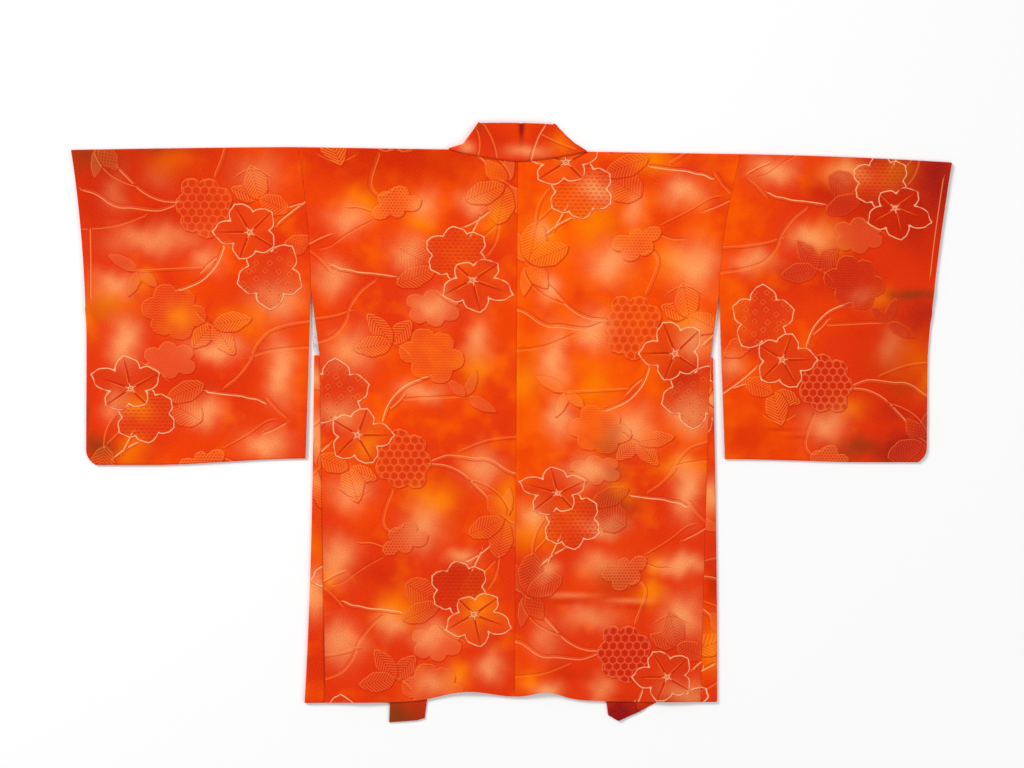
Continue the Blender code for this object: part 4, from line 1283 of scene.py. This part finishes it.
finish = {
    "red": (0.870, 0.060, 0.0, 1),
    "redder": (0.740, 0.031, 0.003, 1),
    "orange": (0.950, 0.112, 0.0, 1),
    "gold": (0.950, 0.190, 0.0, 1),
    "salmon": (0.980, 0.375, 0.130, 1),
    "deep": (0.540, 0.012, 0.001, 1),
    "crimson": (0.260, 0.003, 0.007, 1),
    "dusk": (0.220, 0.036, 0.006, 1),
    "cream": (1.0, 0.620, 0.320, 1),
    "palePink": (1.0, 0.255, 0.036, 1),
    "rose": (0.860, 0.135, 0.070, 1),
    "lining": (0.72, 0.70, 0.66, 1),
    "liningGrey": (0.42, 0.40, 0.38, 1),
    "clouds": (0.07, 2.0, 0.5),  # scale, detail and roughness of each unevenness
    "patches": (0.22, 2.0, 0.5),
    "flecks": (6.5, 2.0, 0.6),
    "wear": (0.9, 1.0, 0.5),
    "grain": (16.0, 3.0, 0.7),
    "liningBlotches": (0.7, 3.0, 0.6),
    "liningGrain": (18.0, 2.0, 0.6),
    "relief": (0.35, 0.004),  # strength and depth
    "liningRelief": (0.30, 0.004),
    "roughness": 0.50,
    "specular": 0.02,
    "sheen": 0.002,
    "sheenTint": (1.0, 0.55, 0.35, 1),
    "sheenRoughness": 0.4,
    "liningSpecular": 0.35,
    "weave": 0.06,  # pitch of the threads, in centimetres
    "overlap": -0.14,  # how far outside its outline a motif hides the one under it
    "vineEdges": (0.80, 0.95),  # where its pale and its dark line lie, as shares of its half width
}
# sizes of the fills, in centimetres
fills = {
    "squares": (0.66, 0.6),  # how many to a centimetre and how loosely they stand
    "scales": (0.74, 0.52),
    "cell": 1.19,
    "hexagon": (1.0, 1.732),  # its lattice, in cells
    "dots": (0.46, 0.40),
    "zigzags": (0.8, 0.38),
    "ribs": 0.44,
    "nets": 0.62,
    "chevrons": 0.47,
}


def silkMaterial(name):
    m = Material(name)
    scaled = m.clothPlace()
    u, v = m.parts(scaled)[:2]
    gold, pale, deep = m.written("dyeAndPaintedLight")
    dusk, crimson, redness = m.written("stainAndPaintedShade")

    # the ground: red to orange clouds, with gold, pale and dark places, some of which are painted light and
    # shade along creases, in the collar's tuck and on the hem tabs
    cloud, patch, fleck, worn, grain = (
        m.noise(scaled, *finish[kind]) for kind in ("clouds", "patches", "flecks", "wear", "grain")
    )
    speck = ((fleck - 0.40) * 4).clamped()
    ground = m.paint(
        m.blend("redder", "red", (cloud - 0.36) * 4.0 - redness * 1.1),
        ("orange", ((patch - 0.42) * 3.5 - redness * 0.9).clamped() * 0.85),
        ("deep", ((0.42 - patch) * 3.0).clamped() * 0.35),
        ("gold", gold * (0.75 + 0.5 * patch) + (fleck - 0.5) * 0.1),
        ("salmon", pale * (0.66 + 0.32 * speck)),
        ("deep", deep * 0.80),
        ("dusk", dusk * (0.65 + 0.4 * fleck)),
        ("crimson", crimson * 0.88),
    )

    # the vines, pale along one edge and dark along the other
    lateral, vineTone, vineHalf = m.written("vine")
    paleEdge, darkEdge = finish["vineEdges"]
    inVine = lateral.abs().under(vineHalf, 0.05)
    paleLine = (lateral + vineHalf * paleEdge).near(0.0, 0.10)
    darkLine = (lateral - vineHalf * darkEdge).near(0.0, 0.12)
    strong = ((vineTone - 0.6) * 3).clamped()
    ground = m.paint(
        ground,
        ("salmon", inVine * vineTone * 0.10),
        ("deep", darkLine * (0.56 + 0.22 * vineTone)),
        ("palePink", paleLine * (0.42 + 0.42 * vineTone)),
        ("cream", paleLine * strong * 0.85),
    )

    # the motif on top, or the one under it
    top, below = (
        [*m.written("place" + depth), *m.written("style" + depth), *m.written("detail" + depth)[:2]]
        for depth in "AB"
    )
    onTop = top[2] > finish["overlap"]
    x, y, edge, kind, tone, facing, veinWay, tint = (
        under + onTop * (upper - under) for upper, under in zip(top, below)
    )
    vein = veinWay.abs()
    fromHeart = x * x + y * y
    inside = (edge * 25).clamped()
    shapes = {name: (kind - index).abs() < 0.5 for index, name in enumerate(fillKinds) if index}

    def rows(width, height):
        # places in a pattern whose every other row stands half a step aside
        aside = (y / height).floor() * 0.5
        return (x / width + aside).fract() - 0.5, (y / height).fract()

    def lattice(shift):
        # places about the nearest heart of one half of the hexagons
        width, height = fills["hexagon"]
        across, down = x / fills["cell"] - shift * width, y / fills["cell"] - shift * height
        return across.over(width) - width / 2, down.over(height) - height / 2

    # the fills
    scale, looseness = fills["squares"]
    settings = {"distance": "MANHATTAN", "voronoi_dimensions": "2D"}
    place = m.node("ShaderNodeCombineXYZ", "Vector", {}, {"X": x, "Y": y})
    sockets = {"Vector": place, "Scale": scale, "Randomness": looseness}
    fromSquare = m.node("ShaderNodeTexVoronoi", "Distance", settings, sockets)
    squares = fromSquare.near(0.26, 0.09)
    squareHearts = fromSquare.under(0.13, 0.1) + fromSquare.near(0.38, 0.08) * 0.6
    scaleX, scaleRow = rows(*fills["scales"])
    scaleY = scaleRow - 0.34 - 1.5 * scaleX * scaleX
    ripples = scaleY.abs().under(0.19, 0.14) * scaleX.abs().under(0.30, 0.16)
    rippleTops = (scaleY - 0.30).abs().under(0.12, 0.14) * scaleX.abs().under(0.25, 0.16)
    firstX, firstY = lattice(0)
    nextX, nextY = lattice(0.5)
    firstNear = (firstX * firstX + firstY * firstY) < (nextX * nextX + nextY * nextY)
    hexAcross = (nextX + firstNear * (firstX - nextX)).abs()
    hexDown = (nextY + firstNear * (firstY - nextY)).abs()
    hexagon = hexAcross.most(hexAcross * 0.5 + hexDown * 0.866)
    hexLines = 1 - hexagon.under(0.44, 0.05)
    hexHearts = hexagon.under(0.24, 0.12) * (1 - 0.55 * hexagon.under(0.08, 0.06))
    dotX, dotRow = rows(*fills["dots"])
    dotY = dotRow - 0.5
    pindots = 1 - (dotX * dotX + dotY * dotY).under(0.13, 0.06)
    width, height = fills["zigzags"]
    zigzag = (y / height + 0.8 * ((x / width).fract() - 0.5).abs()).fract()
    zigzags = zigzag.under(0.34, 0.14)
    ribWay = ((x + 0.85 * y.abs() - 0.12 * y * y) / fills["ribs"]).fract()
    netU, netV = ((x + y) / fills["nets"]).fract(), ((x - y) / fills["nets"]).fract()
    nets = netU.near(0.5, 0.16).most(netV.near(0.5, 0.16))
    chevronWay = ((x + y.abs() * 0.9) / fills["chevrons"]).fract()
    midrib = y.abs().under(0.05, 0.05)
    hexEdges = hexLines.most(edge.near(0.08, 0.12))
    lightLines = (
        shapes["squares"] * squares * (0.15 + 0.75 * pale.most(worn * 0.6))
        + shapes["ripples"] * rippleTops * (0.10 + 0.55 * pale)
        + shapes["hexagons"] * hexEdges * ((0.12 + 1.8 * tint).clamped() * 0.45 + 0.45 * worn)
        + shapes["pindots"] * pindots * 0.40
        + shapes["zigzags"] * zigzags * (0.24 - 0.22 * tint)
        + shapes["ribs"] * ribWay.under(0.32, 0.2) * (0.36 - 0.30 * tint)
        + shapes["nets"] * nets * 0.26
        + shapes["chevrons"] * chevronWay.under(0.36, 0.2) * (0.50 - 0.45 * tint)
    )
    darkLines = (
        shapes["ripples"] * ripples * (0.52 + 0.5 * tint)
        + shapes["squares"] * squareHearts * 0.35
        + shapes["hexagons"] * hexHearts * (0.08 + 0.35 * worn + 1.1 * tint).clamped() * 0.8
        + shapes["veins"] * vein.under(0.19 - 0.008 * fromHeart, 0.10) * 0.85
        + shapes["ribs"] * ribWay.near(0.62, 0.16) * 0.45
        + shapes["chevrons"] * chevronWay.near(0.66, 0.16) * 0.45
        + shapes["ribs"].most(shapes["chevrons"]) * midrib * 0.35
    )
    veinEdge = shapes["veins"] * veinWay.near(-0.18, 0.09) * fromHeart.under(9.0, 9.0)
    heartVeins = fromHeart.under(0.60, 0.5) * vein.under(0.06, 0.06)
    heart = shapes["veins"] * heartVeins.most(fromHeart.near(0.11, 0.08))

    # painted light and shade along the motif's own edges: lighter on the side toward the key light, darker
    # on the side away from it, over a faint pale and dark line of the print; then its outline
    sunny, shady = (facing * 1.3).clamped(), (facing * -1.3).clamped()
    creamy = ((tone - 0.6) * 4).clamped() * ((worn - 0.34) * 4.0 + 0.55).clamped()
    outline = edge.near(0.02, 0.07 + 0.07 * worn) * creamy
    colour = m.paint(
        ground,
        ("salmon", inside * (0.03 + 0.09 * shapes["plain"])),
        ("deep", inside * tint * (0.75 + 0.6 * worn)),
        ("gold", inside * tint * -1.0),
        (m.blend("palePink", "rose", tint * 1.7), (inside * lightLines).clamped()),
        ("deep", inside * darkLines),
        ("palePink", inside * veinEdge * 0.60),
        ("cream", heart * inside * 0.7),
        ("palePink", edge.near(0.10, 0.10) * (0.20 + 0.55 * sunny) * (1 - tone)),
        ("deep", edge.near(-0.07, 0.22) * (0.12 + 0.72 * shady)),
        ("cream", outline * 0.92),
        ("palePink", (grain - 0.5) * 0.9 + (fleck - 0.55) * 0.9),
        ("deep", (0.5 - grain) * 1.1 + (0.48 - fleck) * 1.3),
    )

    # threads and a soft relief
    pitch = 2 * math.pi / finish["weave"]
    threads = (u * pitch).wave() * (v * pitch).wave()
    relief = threads * 0.012 + grain * 0.05 + inVine * 0.05 + outline * 0.06
    relief = relief + inside * 0.05 + lightLines * inside * 0.03
    roughness = finish["roughness"] - 0.10 * inside + 0.12 * (grain - 0.5)
    m.cover(colour, roughness, finish["specular"], relief, *finish["relief"])
    sheen = {"Sheen Weight": finish["sheen"], "Sheen Roughness": finish["sheenRoughness"]}
    m.feed(m.shader, {**sheen, "Sheen Tint": finish["sheenTint"]})
    return m.data


def liningMaterial():
    m = Material("lining")
    scaled = m.clothPlace()
    blotch, grain = (m.noise(scaled, *finish[kind]) for kind in ("liningBlotches", "liningGrain"))
    colour = m.paint(finish["lining"], ("liningGrey", (blotch - 0.46) * 5), ("liningGrey", grain * 0.2))
    roughness = 0.42 + 0.16 * grain
    m.cover(colour, roughness, finish["liningSpecular"], grain * 0.02, *finish["liningRelief"])
    return m.data


def wall(piece, outer, inner):
    # gives a sheet its thickness, with the lining on its inner face
    piece.data.materials.clear()
    piece.data.materials.append(outer)
    piece.data.materials.append(inner)
    choose(piece)
    bpy.ops.object.shade_smooth()
    solid = piece.modifiers.new("wall", "SOLIDIFY")
    solid.thickness = silk["wall"]
    solid.offset = 0
    solid.use_even_offset = True
    solid.material_offset = 1
    solid.material_offset_rim = 0
    bpy.ops.object.modifier_apply(modifier=solid.name)


def turnUpFacing(piece, facingDrop):
    # the outer cloth is turned up inside the hems
    mesh = piece.data
    count = len(mesh.polygons)
    centres, indices = np.zeros(count * 3), np.zeros(count, dtype=np.int32)
    mesh.polygons.foreach_get("center", centres)
    mesh.polygons.foreach_get("material_index", indices)
    indices[shoulderY - centres.reshape(-1, 3)[:, 1] > facingDrop] = 0
    mesh.polygons.foreach_set("material_index", indices)


outerSilk = silkMaterial("silk")
liningSilk = liningMaterial()
# the node that each piece replaces, then its cut: how it is held, flat size, area, what it rests on
cuts = {
    "bodyLeft": ("body_left", "laid", (0.327, 1.62), 0.34, ("floor", "neckBand")),
    "bodyRight": ("body_right", "laid", (0.327, 1.62), 0.344, ("floor", "neckBand")),
    "sleeveLeft": ("sleeve_left", "laid", (0.335, 0.91), 0.285, ("floor",)),
    "sleeveRight": ("sleeve_right", "laid", (0.335, 0.91), 0.282, ("floor",)),
    "gussetLeft": ("gusset_left", "folded", (0.048, 0.505), 0.019, ("floor",)),
    "gussetRight": ("gusset_right", "folded", (0.048, 0.505), 0.018, ("floor",)),
    "neckBand": ("collar", "folded", (0.115, 1.86), 0.20, ("floor", "bodyLeft", "bodyRight")),
}
turnedPrint = ("bodyRight", "sleeveLeft")
for name, piece in pieces.items():
    own = collarVines if name == "neckBand" else vines + cuffLines.get(name, ())
    printCloth(piece, name not in turnedPrint, own, tints.get(name, {}))
    dyeAndPaintLight(piece, dyeAndPaintedLightSpots[name], tones[name])
    wall(piece, outerSilk, liningSilk)
    if name.startswith("body"):
        turnUpFacing(piece, body["facingDrop"])
    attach(piece, "root")
    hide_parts(cuts[name][0])
print("pieces dyed and walled")

studio = {
    "floor": (0.93, 0.93, 0.93, 1),
    "floorSize": 30.0,
    "camera": (-0.2975, 0.0839, 3.0),
    "turn": (5.549, 0.522, -0.332),  # yaw, pitch and roll, in degrees
    "lens": 73.15,
    "sky": 0.48,
    "key": (435.0, (-4.8, 4.0, 4.4), 2.2),  # power, place and size of the low light
    "fill": (130.0, (4.6, -2.6, 4.6), 3.5),
}
deselectAll()
bpy.ops.mesh.primitive_plane_add(size=studio["floorSize"], location=(0, 0, 0))
floor = bpy.context.active_object
floor.name = "floor"
floorFinish = Material("floor")
floorFinish.feed(floorFinish.shader, {"Base Color": studio["floor"], "Roughness": 0.9})
floor.data.materials.append(floorFinish.data)
for name in ("key", "fill"):
    power, place, size = studio[name]
    bpy.ops.object.light_add(type="AREA", location=place)
    light = bpy.context.active_object
    light.name = name
    light.data.energy = power
    light.data.size = size
    light.rotation_euler = (-light.location).to_track_quat("-Z", "Y").to_euler()
world = bpy.data.worlds.new("studio")
bpy.context.scene.world = world
world.use_nodes = True
world.node_tree.nodes["Background"].inputs["Color"].default_value = (1, 1, 1, 1)
world.node_tree.nodes["Background"].inputs["Strength"].default_value = studio["sky"]

bpy.ops.object.camera_add(location=studio["camera"])
camera = bpy.context.active_object
yaw, pitch, roll = (math.radians(value) for value in studio["turn"])
turn = Matrix.Rotation(-yaw, 4, "Y") @ Matrix.Rotation(-pitch, 4, "X") @ Matrix.Rotation(-roll, 4, "Z")
camera.matrix_world = Matrix.Translation(studio["camera"]) @ turn
camera.data.sensor_width = 36
camera.data.lens = studio["lens"]
bpy.context.scene.camera = camera
bpy.context.scene.view_settings.view_transform = "Standard"
print("studio set")
